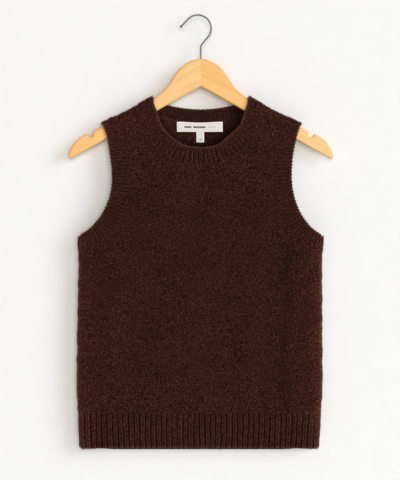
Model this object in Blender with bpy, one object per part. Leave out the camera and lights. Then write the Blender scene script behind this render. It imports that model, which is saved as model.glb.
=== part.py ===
"""A sleeveless knitted vest on a flat wooden hanger with a wire hook.

Units are metres, +Z is up and the front of the vest faces -Y. The origin is the
inside top of the hook, where a nail or a rail holds it.

Every knitted piece is drawn on one flat pattern, with u across from the middle of
the garment and p up it. drape() lays the pattern over the hanger: it goes over the
top of the arm, down its face, out into the body's hollow and round the side folds.
"""

import math
from collections import namedtuple

import bmesh
import bpy
import numpy as np

Edge = namedtuple("Edge", "u p")
HalfWidth = namedtuple("HalfWidth", "p half_width")
Outline = namedtuple("Outline", "u z")

# Cloth
KNIT = 0.0030
RIB = 0.0036
LABEL = 0.0006
GAP = 0.0003

# Placement: the hanger's middle lies beside the hook's hang point, and under the arms
# the cloth swings a little to the left on its way down
MIDDLE_X = 0.005
LEAN = 0.0045
LEAN_START = -0.190

# Hanger
WOOD_THICK = 0.012
WOOD_ROUND = 0.0035
ARM_SLOPE = math.tan(math.radians(28.2))
ARM_TOP_AT_NECK = -0.1420
HANGER_TOP = -0.0727
APEX_UNDER = -0.1193
TIP_U = 0.2212
TIP_Z = -0.2422
NOTCH_U = 0.1858
NOTCH_Z = -0.2002
NOTCH_RADIUS = 0.0044

DOME = (
    Outline(0.0000, HANGER_TOP),
    Outline(0.0169, -0.0767),
    Outline(0.0313, -0.0860),
    Outline(0.0423, -0.0984),
    Outline(0.0524, -0.1144),
    Outline(0.0634, -0.1272),
)
STRAIGHT_TOP_U = 0.0786
TIP_CURVE = (
    Outline(0.1912, -0.1992),
    Outline(0.1985, -0.2025),
    Outline(0.2062, -0.2079),
    Outline(0.2141, -0.2162),
    Outline(0.2200, -0.2265),
    Outline(0.2227, -0.2350),
    Outline(0.2228, -0.2392),
)

# Hook
WIRE_RADIUS = 0.0016
HOOK_RADIUS = 0.0226
STEM_IN_WOOD = 0.020
LOWER_BEND_RADIUS = 0.010
RISE_ANGLE = math.radians(50)
LEAVE_ANGLE = math.radians(137)
HOOK_END = 0.0165
TIP_FLARE = (1.0, 1.35, 1.5, 1.35, 0.8)
TIP_LENGTH = 0.0045
BORE_DEPTH = 0.0215

# Pattern: the free edges of the vest, on its right-hand half
NECK_HALF = 0.0826
SHOULDER_HALF = 0.1680
NECK_BAND = 0.0280
NECK_BAND_BACK = 0.0185
BACK_NARROWS_OVER = 0.7
ARM_BAND = 0.0270
HEM_TOP = -0.6680
HEM_FRONT = -0.7280
HEM_BACK_DROP = 0.0040
HEM_CORNER = 0.0050
UNDERARM = Edge(0.2050, -0.3740)

# How far along its edge a band takes to turn from the shoulder line or a fold
NECK_SHOULDER_REACH = 0.045
NECK_MIDDLE_REACH = 0.012
ARM_SHOULDER_REACH = 0.030
ARM_FOLD_REACH = 0.045

FRONT_NECK = (
    Edge(0.0785, -0.1485),
    Edge(0.0740, -0.1609),
    Edge(0.0666, -0.1835),
    Edge(0.0558, -0.1987),
    Edge(0.0407, -0.2116),
    Edge(0.0235, -0.2196),
    Edge(0.0000, -0.2224),
)
BACK_NECK = (
    Edge(0.0765, -0.1420),
    Edge(0.0640, -0.1475),
    Edge(0.0450, -0.1528),
    Edge(0.0220, -0.1571),
    Edge(0.0000, -0.1584),
)
ARMHOLE = (
    Edge(0.1602, -0.2065),
    Edge(0.1536, -0.2400),
    Edge(0.1514, -0.2720),
    Edge(0.1550, -0.3030),
    Edge(0.1660, -0.3316),
    Edge(0.1800, -0.3525),
    Edge(0.1925, -0.3650),
    UNDERARM,
)
SIDE_FOLD = (
    HalfWidth(-0.3740, 0.2050),
    HalfWidth(-0.3880, 0.2031),
    HalfWidth(-0.4130, 0.2018),
    HalfWidth(-0.5000, 0.2026),
    HalfWidth(-0.6100, 0.2037),
    HalfWidth(-0.6400, 0.2030),
    HalfWidth(-0.6680, 0.2010),
    HalfWidth(-0.7050, 0.1990),
    HalfWidth(-0.7330, 0.1972),
)

# Drape, all to the inner face of the cloth
SEAT = 0.0007
RIDGE_FLAT = 0.0030
RIDGE_RADIUS = 0.0036
FRONT_DEPTH = 0.0130
BACK_DEPTH = 0.0090
BELLY_START = 0.020
BELLY_LENGTH = 0.150
HEM_PULL = 0.15
HEM_PULL_START = -0.600
FOLD_RADIUS = 0.022
RIDGE_WRAP = RIDGE_FLAT + RIDGE_RADIUS * math.pi / 2
RIDGE_EXTRA = RIDGE_WRAP - RIDGE_RADIUS
STEP = 1e-6
SIDE_STEPS = 80
KNOT_STEPS = 16

# Label, on the inside of the back
LABEL_U = (-0.0404, 0.0380)
LABEL_P = (-0.1790, -0.1962)
TAB_U = (-0.0073, 0.0068)
TAB_LENGTH = 0.0178

FRONT, BACK = -1, 1

# Lengths of the free edges, shoulder to middle or to underarm, which share out the
# cells of the faceted cloth
NECK_LENGTH = {FRONT: 0.135, BACK: 0.090}
ARMHOLE_LENGTH = 0.210
WRAP_CELLS = 3
NECK_CELLS = 10
SHOULDER_CELLS = 7
ARM_CELLS = 9
FOLD_CELLS = 3
LOWER_CELLS = 6
BAND_CELLS = 3
NECK_SHARE = 0.62
UNDERARM_SHARE = 0.5
HEM_DROP_SHARE = 0.2


def clear_scene():
    for thing in list(bpy.data.objects):
        bpy.data.objects.remove(thing, do_unlink=True)


def ease(value):
    value = np.clip(value, 0, 1)
    return value * value * (3 - 2 * value)


def resample(path, fractions):
    """Points at these fractions of the path's length."""
    path = np.asarray(path, float)
    steps = np.linalg.norm(np.diff(path, axis=0), axis=1)
    along = np.concatenate([[0], np.cumsum(steps)]) / steps.sum()
    return np.column_stack([np.interp(fractions, along, path[:, k]) for k in (0, 1)])


def smooth_path(knots, fractions):
    """Points along a Catmull-Rom curve through the knots."""
    knots = np.asarray(knots, float)
    ends = 2 * knots[0] - knots[1], 2 * knots[-1] - knots[-2]
    padded = np.vstack([ends[0], knots, ends[1]])
    t = np.linspace(0, 1, KNOT_STEPS, endpoint=False)[:, None]
    fine = [
        0.5 * (2 * b + (c - a) * t + (2 * a - 5 * b + 4 * c - d) * t**2)
        + 0.5 * (3 * b - a - 3 * c + d) * t**3
        for a, b, c, d in zip(padded, padded[1:], padded[2:], padded[3:])
    ]
    return resample(np.vstack(fine + [knots[-1:]]), fractions)


def ridge(u):
    """Height of the cloth's inner face where it lies along the top of the arm."""
    return ARM_TOP_AT_NECK + SEAT - ARM_SLOPE * (np.abs(u) - NECK_HALF)


def ridge_edge(u):
    """The pattern's own point on the shoulder line."""
    return Edge(u, float(ridge(u)) + RIDGE_EXTRA)


def side_half_width(p):
    """Where the side fold lies at this height of the pattern."""
    fold = smooth_path(SIDE_FOLD, np.linspace(1, 0, SIDE_STEPS))
    return np.interp(p, fold[:, 0], fold[:, 1])


def fold_distance(u, p):
    """Distance on the pattern from the side fold, which starts at the underarm."""
    sideways = side_half_width(np.minimum(p, UNDERARM.p)) - np.abs(u)
    return np.hypot(np.maximum(sideways, 0), np.maximum(p - UNDERARM.p, 0))


def drape(u, p, side):
    """World points of the cloth's inner face, for pattern points on one side."""
    from_ridge = np.maximum(ridge(u) + RIDGE_EXTRA - p, 0)
    turn = np.clip((from_ridge - RIDGE_FLAT) / RIDGE_RADIUS, 0, math.pi / 2)
    below = np.maximum(from_ridge - RIDGE_WRAP, 0)
    depth = np.minimum(from_ridge, RIDGE_FLAT) + RIDGE_RADIUS * np.sin(turn)
    z = ridge(u) - RIDGE_RADIUS * (1 - np.cos(turn)) - below

    full = FRONT_DEPTH if side == FRONT else BACK_DEPTH
    pulled = 1 - HEM_PULL * ease((HEM_PULL_START - z) / (HEM_PULL_START - HEM_FRONT))
    spare = full * pulled - RIDGE_FLAT - RIDGE_RADIUS
    belly = spare * ease((below - BELLY_START) / BELLY_LENGTH)
    inward = 1 - np.clip(fold_distance(u, p) / FOLD_RADIUS, 0, 1)
    y = side * (depth + belly) * np.sqrt(1 - inward**2)
    x = MIDDLE_X + u + LEAN * np.minimum(z - LEAN_START, 0)
    return np.stack([x, y, z], axis=-1)


def outward(u, p, side):
    """The cloth's unit normals, away from the body, from two short steps inside it."""
    here = drape(u, p, side)
    inwards = np.where(u > 0, -STEP, STEP)
    across = (drape(u + inwards, p, side) - here) / inwards[..., None]
    up = (here - drape(u, p - STEP, side)) / STEP
    normal = -side * np.cross(across, up)
    return normal / np.linalg.norm(normal, axis=-1)[..., None]


def cloth(flat, side, thickness, split=False, lift=0.0):
    """Inner and outer world points of a piece, for a grid of its pattern points.

    A split piece ends half a gap from the mid-plane, where it meets its twin.
    """
    u, p = flat[..., 0], flat[..., 1]
    normal = outward(u, p, side)
    inner = drape(u, p, side) + normal * lift
    if split:
        inner[..., 1] = side * np.maximum(side * inner[..., 1], GAP / 2)
    return np.stack([inner, inner + normal * thickness], axis=2)


def across_directions(edge, turn, start, end, start_reach, end_reach):
    """Unit directions across a band, square to its edge and led to fixed ends."""
    tangent = np.gradient(edge, axis=0)
    square = turn * np.column_stack([-tangent[:, 1], tangent[:, 0]])
    square /= np.linalg.norm(square, axis=1)[:, None]
    steps = np.linalg.norm(np.diff(edge, axis=0), axis=1)
    along = np.concatenate([[0], np.cumsum(steps)])
    first = 1 - ease((along - RIDGE_WRAP) / start_reach)[:, None]
    last = 1 - ease((along[-1] - along) / end_reach)[:, None]
    led = square * (1 - first) * (1 - last) + np.array(start) * first + np.array(end) * last
    return led / np.linalg.norm(led, axis=1)[:, None]


def stations(length, cells, fold_cells=0):
    """Fractions of a seam from the shoulder, short where it wraps the arm or a fold."""
    wrap, fold = RIDGE_WRAP / length, FOLD_RADIUS / length if fold_cells else 0
    over_arm = np.linspace(0, wrap, WRAP_CELLS + 1)[:-1]
    round_fold = 1 - fold * (1 - np.sin(np.linspace(0, math.pi / 2, fold_cells + 1)))
    return np.concatenate([over_arm, np.linspace(wrap, 1 - fold, cells + 1)[:-1], round_fold])


def neck_half(side):
    """Free edge, directions and widths of half the neckband, shoulder to middle."""
    knots = [ridge_edge(NECK_HALF), *(FRONT_NECK if side == FRONT else BACK_NECK)]
    fractions = stations(NECK_LENGTH[side], NECK_CELLS)
    edge = smooth_path(knots, fractions)
    down_shoulder = (math.cos(math.atan(ARM_SLOPE)), -math.sin(math.atan(ARM_SLOPE)))
    reaches = NECK_SHOULDER_REACH, NECK_MIDDLE_REACH
    directions = across_directions(edge, 1, down_shoulder, (0, -1), *reaches)
    middle = NECK_BAND if side == FRONT else NECK_BAND_BACK
    widths = NECK_BAND + (middle - NECK_BAND) * ease(fractions / BACK_NARROWS_OVER)
    return edge, directions, widths


def arm_half():
    """The same for an armhole band, from the shoulder to the underarm."""
    fractions = stations(ARMHOLE_LENGTH, ARM_CELLS, FOLD_CELLS)
    edge = smooth_path([ridge_edge(SHOULDER_HALF), *ARMHOLE], fractions)
    up_shoulder = (-math.cos(math.atan(ARM_SLOPE)), math.sin(math.atan(ARM_SLOPE)))
    down_fold = (side_half_width(UNDERARM.p - ARM_BAND) - UNDERARM.u, -ARM_BAND)
    down_fold /= np.linalg.norm(down_fold)
    reaches = ARM_SHOULDER_REACH, ARM_FOLD_REACH
    directions = across_directions(edge, -1, up_shoulder, down_fold, *reaches)
    return edge, directions, np.full(len(edge), ARM_BAND)


def band_lines(half, shares, beyond):
    """Pattern lines along a band, at these shares of its width, inside the folds."""
    edge, directions, widths = half
    across = np.multiply.outer(widths + beyond, shares)
    flat = edge[:, None] + directions[:, None] * across[..., None]
    flat[..., 0] = np.minimum(flat[..., 0], side_half_width(flat[..., 1]))
    return flat


def shell_object(name, walls, material, ring=False):
    """A sheet of cloth with its wall: a grid of (inner, outer) world points.

    A ring's last row joins its first. The open edges are closed with a rim.
    """
    rows, columns = walls.shape[:2]
    mesh = bmesh.new()
    inner = [[mesh.verts.new(pair[0]) for pair in row] for row in walls]
    outer = [[mesh.verts.new(pair[1]) for pair in row] for row in walls]
    for i in range(rows if ring else rows - 1):
        k = (i + 1) % rows
        for j in range(columns - 1):
            for grid in (inner, outer):
                mesh.faces.new((grid[i][j], grid[i][j + 1], grid[k][j + 1], grid[k][j]))
        for j in (0, columns - 1):
            mesh.faces.new((inner[i][j], inner[k][j], outer[k][j], outer[i][j]))
    for i in () if ring else (0, rows - 1):
        for j in range(columns - 1):
            mesh.faces.new((inner[i][j], inner[i][j + 1], outer[i][j + 1], outer[i][j]))
    bmesh.ops.recalc_face_normals(mesh, faces=mesh.faces)
    if mesh.calc_volume(signed=True) < 0:
        bmesh.ops.reverse_faces(mesh, faces=mesh.faces)
    data = bpy.data.meshes.new(name)
    mesh.to_mesh(data)
    mesh.free()
    return add_object(name, data, material)


def add_object(name, data, material):
    made = bpy.data.objects.new(name, data)
    data.materials.append(material)
    bpy.data.collections["knitted_vest_on_hanger"].objects.link(made)
    if isinstance(data, bpy.types.Mesh):
        data.shade_smooth()
    return made


def make_material(name, colour, roughness, metallic=0.0):
    made = bpy.data.materials.new(name)
    made.use_nodes = True
    shader = made.node_tree.nodes["Principled BSDF"]
    shader.inputs["Base Color"].default_value = (*colour, 1)
    shader.inputs["Roughness"].default_value = roughness
    shader.inputs["Metallic"].default_value = metallic
    return made


def column_places():
    """Places of the panels' columns, from 0 in the middle to 1 at the side fold."""
    curve = np.sin(np.linspace(0, math.pi / 2, SHOULDER_CELLS + 1))[1:]
    on_neck = np.linspace(0, NECK_SHARE, NECK_CELLS + WRAP_CELLS + 1)
    return on_neck, NECK_SHARE + (1 - NECK_SHARE) * curve


def panel(name, side, material):
    """Front or back, from the top of the hem rib to the shoulders and the neck seam."""
    neck = band_lines(neck_half(side), [1], GAP / 2)[:, 0]
    armhole = band_lines(arm_half(), [1], GAP / 2)[:, 0]
    neck[0] = np.array(ridge_edge(neck[0][0])) - (0, GAP / 2)
    armhole[0] = np.array(ridge_edge(armhole[0][0])) - (0, GAP / 2)

    under_neck, under_shoulder = column_places()
    across = np.concatenate([under_neck, under_shoulder])
    shoulder_share = (under_shoulder - NECK_SHARE) / (1 - NECK_SHARE)
    shoulder = neck[0] + shoulder_share[:, None] * (armhole[0] - neck[0])
    top = np.vstack([neck[::-1], shoulder])

    rise = 1 - stations(ARMHOLE_LENGTH, ARM_CELLS, FOLD_CELLS)[::-1]
    side_p = np.linspace(HEM_TOP + GAP / 2, armhole[-1][1], LOWER_CELLS + 1)
    side_line = np.column_stack([side_half_width(side_p), side_p])
    side_line = np.vstack([side_line, armhole[::-1][1:]])
    lower = np.linspace(0, UNDERARM_SHARE, LOWER_CELLS + 1)
    up = np.concatenate([lower, UNDERARM_SHARE + (1 - UNDERARM_SHARE) * rise[1:]])

    corner = side_line[0]
    straight = top[-1] - corner
    foot = np.column_stack([across * corner[0], np.full(len(across), corner[1])])
    rows = []
    for level, limit in zip(up, side_line):
        shift = limit - corner - straight * level
        half = foot + (top - foot) * level + (across**2)[:, None] * shift
        rows.append(np.vstack([half[:0:-1] * (-1, 1), half]))
    return shell_object(name, cloth(np.array(rows), side, KNIT, split=True), material)


def hem(name, side, material):
    """Ribbed welt under a panel. Its corners are rounded."""
    half = np.concatenate(column_places())
    share = np.concatenate([-half[:0:-1], half])
    drop = HEM_BACK_DROP if side == BACK else 0
    start = HEM_TOP - GAP / 2
    bottom = HEM_FRONT - drop * ease((1 - np.abs(share)) / HEM_DROP_SHARE)
    levels = []
    for t in np.linspace(0, 1, BAND_CELLS + 1):
        p = start + (bottom - start) * t
        u = share * side_half_width(p)
        near = np.clip(HEM_CORNER - side_half_width(p) + np.abs(u), 0, HEM_CORNER)
        p = p + t**4 * (HEM_CORNER - np.sqrt(HEM_CORNER**2 - near**2))
        levels.append(np.column_stack([u, p]))
    return shell_object(name, cloth(np.array(levels), side, RIB, split=True), material)


def band_strip(half, side, mirror):
    """World points of half a band on one side of the vest."""
    flat = band_lines(half, np.linspace(0, 1, BAND_CELLS + 1), -GAP / 2)
    return cloth(flat * (mirror, 1), side, RIB)


def neckband(material):
    front, back = neck_half(FRONT), neck_half(BACK)
    ring = np.concatenate(
        [
            band_strip(front, FRONT, 1),
            band_strip(front, FRONT, -1)[::-1][1:],
            band_strip(back, BACK, -1)[1:],
            band_strip(back, BACK, 1)[::-1][1:-1],
        ]
    )
    return shell_object("neckband", ring, material, ring=True)


def armband(name, mirror, material):
    half = arm_half()
    front, back = band_strip(half, FRONT, mirror), band_strip(half, BACK, mirror)
    ring = np.concatenate([front, back[::-1][1:-1]])
    return shell_object(name, ring, material, ring=True)


def label_piece(name, u_range, p_range, columns, rows, material):
    """A label lying on the inner face of the back, made from the back's own points."""
    u, p = np.meshgrid(np.linspace(*u_range, columns + 1), np.linspace(*p_range, rows + 1))
    flat = np.stack([u, p], axis=-1)
    return shell_object(name, cloth(flat, BACK, -LABEL, lift=-GAP), material)


def arm_top(u):
    return Outline(u, ARM_TOP_AT_NECK - ARM_SLOPE * (u - NECK_HALF))


def arm_outline():
    """Right-hand half of the hanger's outline, from the top round to the apex."""
    dome = smooth_path([*DOME, arm_top(STRAIGHT_TOP_U)], np.linspace(0, 1, 16))
    turns = np.linspace(math.pi, 2 * math.pi, 8)
    notch = np.column_stack(
        [NOTCH_U + NOTCH_RADIUS * np.cos(turns), NOTCH_Z + NOTCH_RADIUS * np.sin(turns)]
    )
    tip = smooth_path(TIP_CURVE, np.linspace(0, 1, 11))
    lower_edge = [(TIP_U, TIP_Z), (0, APEX_UNDER)]
    return np.vstack([dome, arm_top(NOTCH_U - NOTCH_RADIUS), notch, tip, lower_edge])


def hanger_blank():
    """The whole hanger as one mesh, before it is parted in the middle."""
    right = arm_outline()
    left = right[-2:0:-1] * (-1, 1)
    outline = np.vstack([right, left])
    curve = bpy.data.curves.new("hanger_blank", "CURVE")
    curve.dimensions = "2D"
    curve.fill_mode = "BOTH"
    curve.extrude = WOOD_THICK / 2 - WOOD_ROUND
    curve.bevel_depth = WOOD_ROUND
    curve.bevel_resolution = 2
    curve.offset = -WOOD_ROUND
    spline = curve.splines.new("POLY")
    spline.points.add(len(outline) - 1)
    for point, (u, z) in zip(spline.points, outline):
        point.co = (MIDDLE_X + u, z, 0, 1)
    spline.use_cyclic_u = True
    blank = bpy.data.objects.new("hanger_blank", curve)
    blank.rotation_euler.x = math.pi / 2
    bpy.context.scene.collection.objects.link(blank)
    bpy.context.view_layer.update()
    data = bpy.data.meshes.new_from_object(
        blank.evaluated_get(bpy.context.evaluated_depsgraph_get())
    )
    data.transform(blank.matrix_world)
    bpy.data.objects.remove(blank)
    return data


def hanger_side(name, blank, mirror, cutter, material):
    """One half of the blank, cut half a gap from the middle and capped."""
    mesh = bmesh.new()
    mesh.from_mesh(blank)
    bmesh.ops.remove_doubles(mesh, verts=mesh.verts, dist=1e-6)
    cut = bmesh.ops.bisect_plane(
        mesh,
        geom=mesh.verts[:] + mesh.edges[:] + mesh.faces[:],
        plane_co=(MIDDLE_X + mirror * GAP / 2, 0, 0),
        plane_no=(-mirror, 0, 0),
        clear_outer=True,
    )
    rim = [item for item in cut["geom_cut"] if isinstance(item, bmesh.types.BMEdge)]
    bmesh.ops.edgeloop_fill(mesh, edges=rim)
    bmesh.ops.recalc_face_normals(mesh, faces=mesh.faces)
    data = bpy.data.meshes.new(name)
    mesh.to_mesh(data)
    mesh.free()
    made = add_object(name, data, material)
    bore = made.modifiers.new("Stem bore", "BOOLEAN")
    bore.object = cutter
    return made


def bore_cutter():
    """The hole in the hanger's top that the hook's stem goes into."""
    length = BORE_DEPTH * 2
    bpy.ops.mesh.primitive_cylinder_add(
        vertices=16,
        radius=WIRE_RADIUS + GAP,
        depth=length,
        location=(MIDDLE_X, 0, HANGER_TOP - BORE_DEPTH + length / 2),
    )
    cutter = bpy.context.object
    cutter.name = "stem_bore_cutter"
    cutter.hide_render = True
    cutter.display_type = "WIRE"
    for holder in list(cutter.users_collection):
        holder.objects.unlink(cutter)
    bpy.data.collections["cutters"].objects.link(cutter)
    return cutter


def hook_path():
    """Middle line of the wire, from the end of the stem to the tip, as (x, z)."""
    centre = np.array([0, WIRE_RADIUS - HOOK_RADIUS])
    meet = centre + HOOK_RADIUS * np.array([math.sin(RISE_ANGLE), -math.cos(RISE_ANGLE)])
    turned = math.pi / 2 - RISE_ANGLE
    bend_x = MIDDLE_X + LOWER_BEND_RADIUS * (1 - math.cos(turned))
    run = (meet[0] - bend_x) / math.cos(RISE_ANGLE)
    bend_end = meet - run * np.array([math.cos(RISE_ANGLE), math.sin(RISE_ANGLE)])
    bend_start_z = bend_end[1] - LOWER_BEND_RADIUS * math.sin(turned)
    stem = [(MIDDLE_X, HANGER_TOP - STEM_IN_WOOD)]
    bend = [
        (
            MIDDLE_X + LOWER_BEND_RADIUS * (1 - math.cos(angle)),
            bend_start_z + LOWER_BEND_RADIUS * math.sin(angle),
        )
        for angle in np.linspace(0, turned, 6)
    ]
    loop = [
        tuple(centre + HOOK_RADIUS * np.array([math.cos(angle), math.sin(angle)]))
        for angle in np.linspace(RISE_ANGLE - math.pi / 2, LEAVE_ANGLE, 24)
    ]
    heading = np.array([-math.sin(LEAVE_ANGLE), math.cos(LEAVE_ANGLE)])
    flare = HOOK_END - TIP_LENGTH + np.linspace(0, TIP_LENGTH, len(TIP_FLARE))
    end = [tuple(np.array(loop[-1]) + heading * length) for length in flare]
    return stem + bend + loop + end


def hook(material):
    path = hook_path()
    curve = bpy.data.curves.new("hook", "CURVE")
    curve.dimensions = "3D"
    curve.bevel_depth = WIRE_RADIUS
    curve.bevel_resolution = 3
    curve.use_fill_caps = True
    spline = curve.splines.new("POLY")
    spline.points.add(len(path) - 1)
    for point, (x, z) in zip(spline.points, path):
        point.co = (x, 0, z, 1)
    for point, flare in zip(spline.points[-len(TIP_FLARE):], TIP_FLARE):
        point.radius = flare
    return add_object("hook", curve, material)


def main():
    clear_scene()
    for name in ("knitted_vest_on_hanger", "cutters"):
        bpy.context.scene.collection.children.link(bpy.data.collections.new(name))
    knit = make_material("brushed_wool_knit", (0.034, 0.011, 0.007), 0.95)
    rib = make_material("brushed_wool_rib", (0.030, 0.010, 0.006), 0.95)
    woven = make_material("cream_woven_label", (0.84, 0.80, 0.74), 0.8)
    wood = make_material("blond_wood", (0.83, 0.52, 0.22), 0.45)
    chrome = make_material("chromed_wire", (0.55, 0.55, 0.56), 0.2, 1.0)

    panel("front", FRONT, knit)
    panel("back", BACK, knit)
    hem("hem_front", FRONT, rib)
    hem("hem_back", BACK, rib)
    neckband(rib)
    armband("armband_left", -1, rib)
    armband("armband_right", 1, rib)
    label_piece("label_main", LABEL_U, LABEL_P, 8, 2, woven)
    tab_top = LABEL_P[1] - GAP
    label_piece("label_size", TAB_U, (tab_top, tab_top - TAB_LENGTH), 2, 2, woven)

    cutter = bore_cutter()
    blank = hanger_blank()
    hanger_side("hanger_left", blank, -1, cutter, wood)
    hanger_side("hanger_right", blank, 1, cutter, wood)
    bpy.data.meshes.remove(blank)
    hook(chrome)


main()
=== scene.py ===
"""The looks of a brushed-wool vest on a wooden hanger.

Every knitted piece is a fine sheet on the same flat pattern as its solid, with u across
from the middle of the garment and p up it. drape() lays the pattern over the hanger,
with the soft creases of the cloth, and the ribs, the stitches and the brushed nap
follow the pattern's own directions. Units are metres.
"""

import math
from collections import namedtuple

import bmesh
import bpy
import numpy as np
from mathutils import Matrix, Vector


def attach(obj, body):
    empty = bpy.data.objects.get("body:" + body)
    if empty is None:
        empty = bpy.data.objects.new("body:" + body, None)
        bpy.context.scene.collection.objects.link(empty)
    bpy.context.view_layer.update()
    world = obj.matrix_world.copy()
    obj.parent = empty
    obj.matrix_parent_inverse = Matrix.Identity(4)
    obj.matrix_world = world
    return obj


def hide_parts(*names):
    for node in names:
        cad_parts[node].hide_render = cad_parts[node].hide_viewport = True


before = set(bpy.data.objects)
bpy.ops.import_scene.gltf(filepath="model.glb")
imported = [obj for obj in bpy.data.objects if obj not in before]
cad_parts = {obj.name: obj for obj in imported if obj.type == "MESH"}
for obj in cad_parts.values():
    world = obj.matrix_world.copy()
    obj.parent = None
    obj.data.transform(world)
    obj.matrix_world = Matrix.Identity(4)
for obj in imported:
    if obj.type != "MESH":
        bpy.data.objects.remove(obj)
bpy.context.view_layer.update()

FRONT, BACK = -1, 1
SIDE_NAME = {FRONT: "front", BACK: "back"}

Edge = namedtuple("Edge", "u p")
Pull = namedtuple("Pull", "u p reach shift")
Grid = namedtuple("Grid", "base normal flat along")
Cloth = namedtuple("Cloth", "made grid walls heights")

# ---------------- sizes of the cloth

KNIT = 0.0030
RIB = 0.0036
LABEL = 0.0006
GAP = 0.0003
SPLIT = 0.00004
MIDDLE_X = 0.005
LEAN = 0.0045
LEAN_START = -0.190

ARM_ANGLE = math.radians(28.2)
ARM_SLOPE = math.tan(ARM_ANGLE)
DOWN_SHOULDER = np.array((math.cos(ARM_ANGLE), -math.sin(ARM_ANGLE)))
ARM_TOP_AT_NECK = -0.1420

NECK_HALF = 0.0826
NECK_END = 0.0802
SHOULDER_HALF = 0.1680
NECK_BAND = 0.0280
NECK_BAND_BACK = 0.0185
BACK_NARROWS_OVER = 0.7
ARM_BAND = 0.0270
HEM_TOP = -0.6680
HEM_SIDE = -0.7286
HEM_MIDDLE = {FRONT: -0.7262, BACK: -0.7318}
HEM_CORNER = 0.0042
HEM_DROP_SHARE = 0.30
UNDERARM = Edge(0.2036, -0.3724)
NECK_REACHES, ARM_REACHES = (0.045, 0.012), (0.030, 0.045)

# Free edges of the bands on the pattern, as (u, p), from the shoulder down
FRONT_NECK = (
    (0.0791, -0.1485), (0.0747, -0.1609), (0.0670, -0.1835), (0.0558, -0.1987),
    (0.0407, -0.2116), (0.0235, -0.2203), (0.0000, -0.2233),
)
BACK_NECK = (
    (0.0765, -0.1420), (0.0640, -0.1475), (0.0450, -0.1528), (0.0220, -0.1564),
    (0.0000, -0.1576),
)
ARMHOLE = (
    (0.1602, -0.2065), (0.1534, -0.2400), (0.1508, -0.2720), (0.1543, -0.3030),
    (0.1655, -0.3316), (0.1800, -0.3518), (0.1890, -0.3603), (0.1955, -0.3645),
    (0.2008, -0.3676), UNDERARM,
)
# The side fold, as (p, half width), from the underarm down
SIDE_FOLD = (
    (UNDERARM.p, UNDERARM.u), (-0.3870, 0.2022), (-0.4130, 0.2018),
    (-0.5000, 0.2026), (-0.6100, 0.2037), (-0.6400, 0.2030),
    (-0.6680, 0.2010), (-0.7050, 0.1990), (-0.7330, 0.1972),
)

SEAT = 0.0007
RIDGE_FLAT = 0.0030
RIDGE_RADIUS = 0.0036
DEPTH = {FRONT: 0.0130, BACK: 0.0090}
BELLY_START = 0.020
BELLY_LENGTH = 0.150
HEM_PULL = 0.15
HEM_PULL_START = -0.600
FOLD_RADIUS = 0.022
RIDGE_WRAP = RIDGE_FLAT + RIDGE_RADIUS * math.pi / 2
RIDGE_EXTRA = RIDGE_WRAP - RIDGE_RADIUS
STEP = 1e-5
SIDE_STEPS = 80
KNOT_STEPS = 16
WRAP_FINER, FOLD_FINER = 1.5, 1.6

NECK_LINES = {FRONT: (FRONT_NECK, NECK_BAND), BACK: (BACK_NECK, NECK_BAND_BACK)}
NECK_LENGTH = {FRONT: 0.135, BACK: 0.090}
ARMHOLE_LENGTH = 0.210
NECK_SHARE = 0.62
UNDERARM_SHARE = 0.5

# Soft troughs (depth above 0) and ridges (below 0) pressed into the draped cloth, each
# from one pattern point to another, as (u, p, u, p, width, depth)
CREASES = {
    FRONT: (
        (0.1410, -0.382, 0.1455, -0.650, 0.013, 0.0026),
        (0.1720, -0.400, 0.1740, -0.470, 0.010, -0.0012),
        (0.1760, -0.392, 0.1180, -0.455, 0.012, 0.0010),
        (-0.1780, -0.395, -0.1290, -0.442, 0.011, 0.0009),
        (-0.1330, -0.470, -0.1500, -0.615, 0.016, -0.0011),
        (-0.0980, -0.560, -0.1010, -0.662, 0.012, 0.0009),
        (0.0090, -0.262, 0.0120, -0.310, 0.011, 0.0010),
        (-0.0520, -0.430, -0.0390, -0.550, 0.020, 0.0008),
        (0.0560, -0.520, 0.0620, -0.660, 0.015, 0.0010),
        (0.0250, -0.600, 0.0180, -0.670, 0.012, -0.0007),
    ),
    BACK: (
        (-0.1380, -0.405, -0.1470, -0.640, 0.014, 0.0020),
        (0.1520, -0.430, 0.1380, -0.590, 0.013, 0.0017),
        (0.1770, -0.393, 0.1150, -0.458, 0.012, 0.0012),
        (-0.1760, -0.393, -0.1200, -0.448, 0.012, 0.0010),
        (0.0680, -0.300, 0.0450, -0.470, 0.018, 0.0011),
        (-0.0480, -0.260, -0.0560, -0.390, 0.016, 0.0009),
        (-0.0350, -0.540, -0.0200, -0.664, 0.014, 0.0012),
        (0.0850, -0.570, 0.0930, -0.665, 0.012, -0.0009),
    ),
}
CREASE_START, CREASE_REACH = 0.030, 0.050
CREASE_WANDER, CREASE_WANDER_SIZE = 0.0035, 0.060
SWAY, SWAY_Z, SWAY_REACH = 0.0025, -0.300, 0.075
# Places where the cloth is pulled sideways on the pattern
SHOULDER_PULL = Pull(-0.1640, -0.2000, 0.030, 0.0026)
NECK_PULL = Pull(0.0500, -0.2060, 0.022, -0.0030)
PULLS = {FRONT: (SHOULDER_PULL, NECK_PULL), BACK: (SHOULDER_PULL,)}


def ease(value):
    value = np.clip(value, 0, 1)
    return value * value * (3 - 2 * value)


def blend(low, high, share):
    """From low to high, easing in and out, as the share goes from 0 to 1."""
    return low + (high - low) * ease(share)


def near(distance, reach):
    """1 at no distance, falling away over the reach."""
    return np.exp(-((distance / reach) ** 2))


def unit(vectors):
    return vectors / np.linalg.norm(vectors, axis=-1, keepdims=True)


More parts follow.
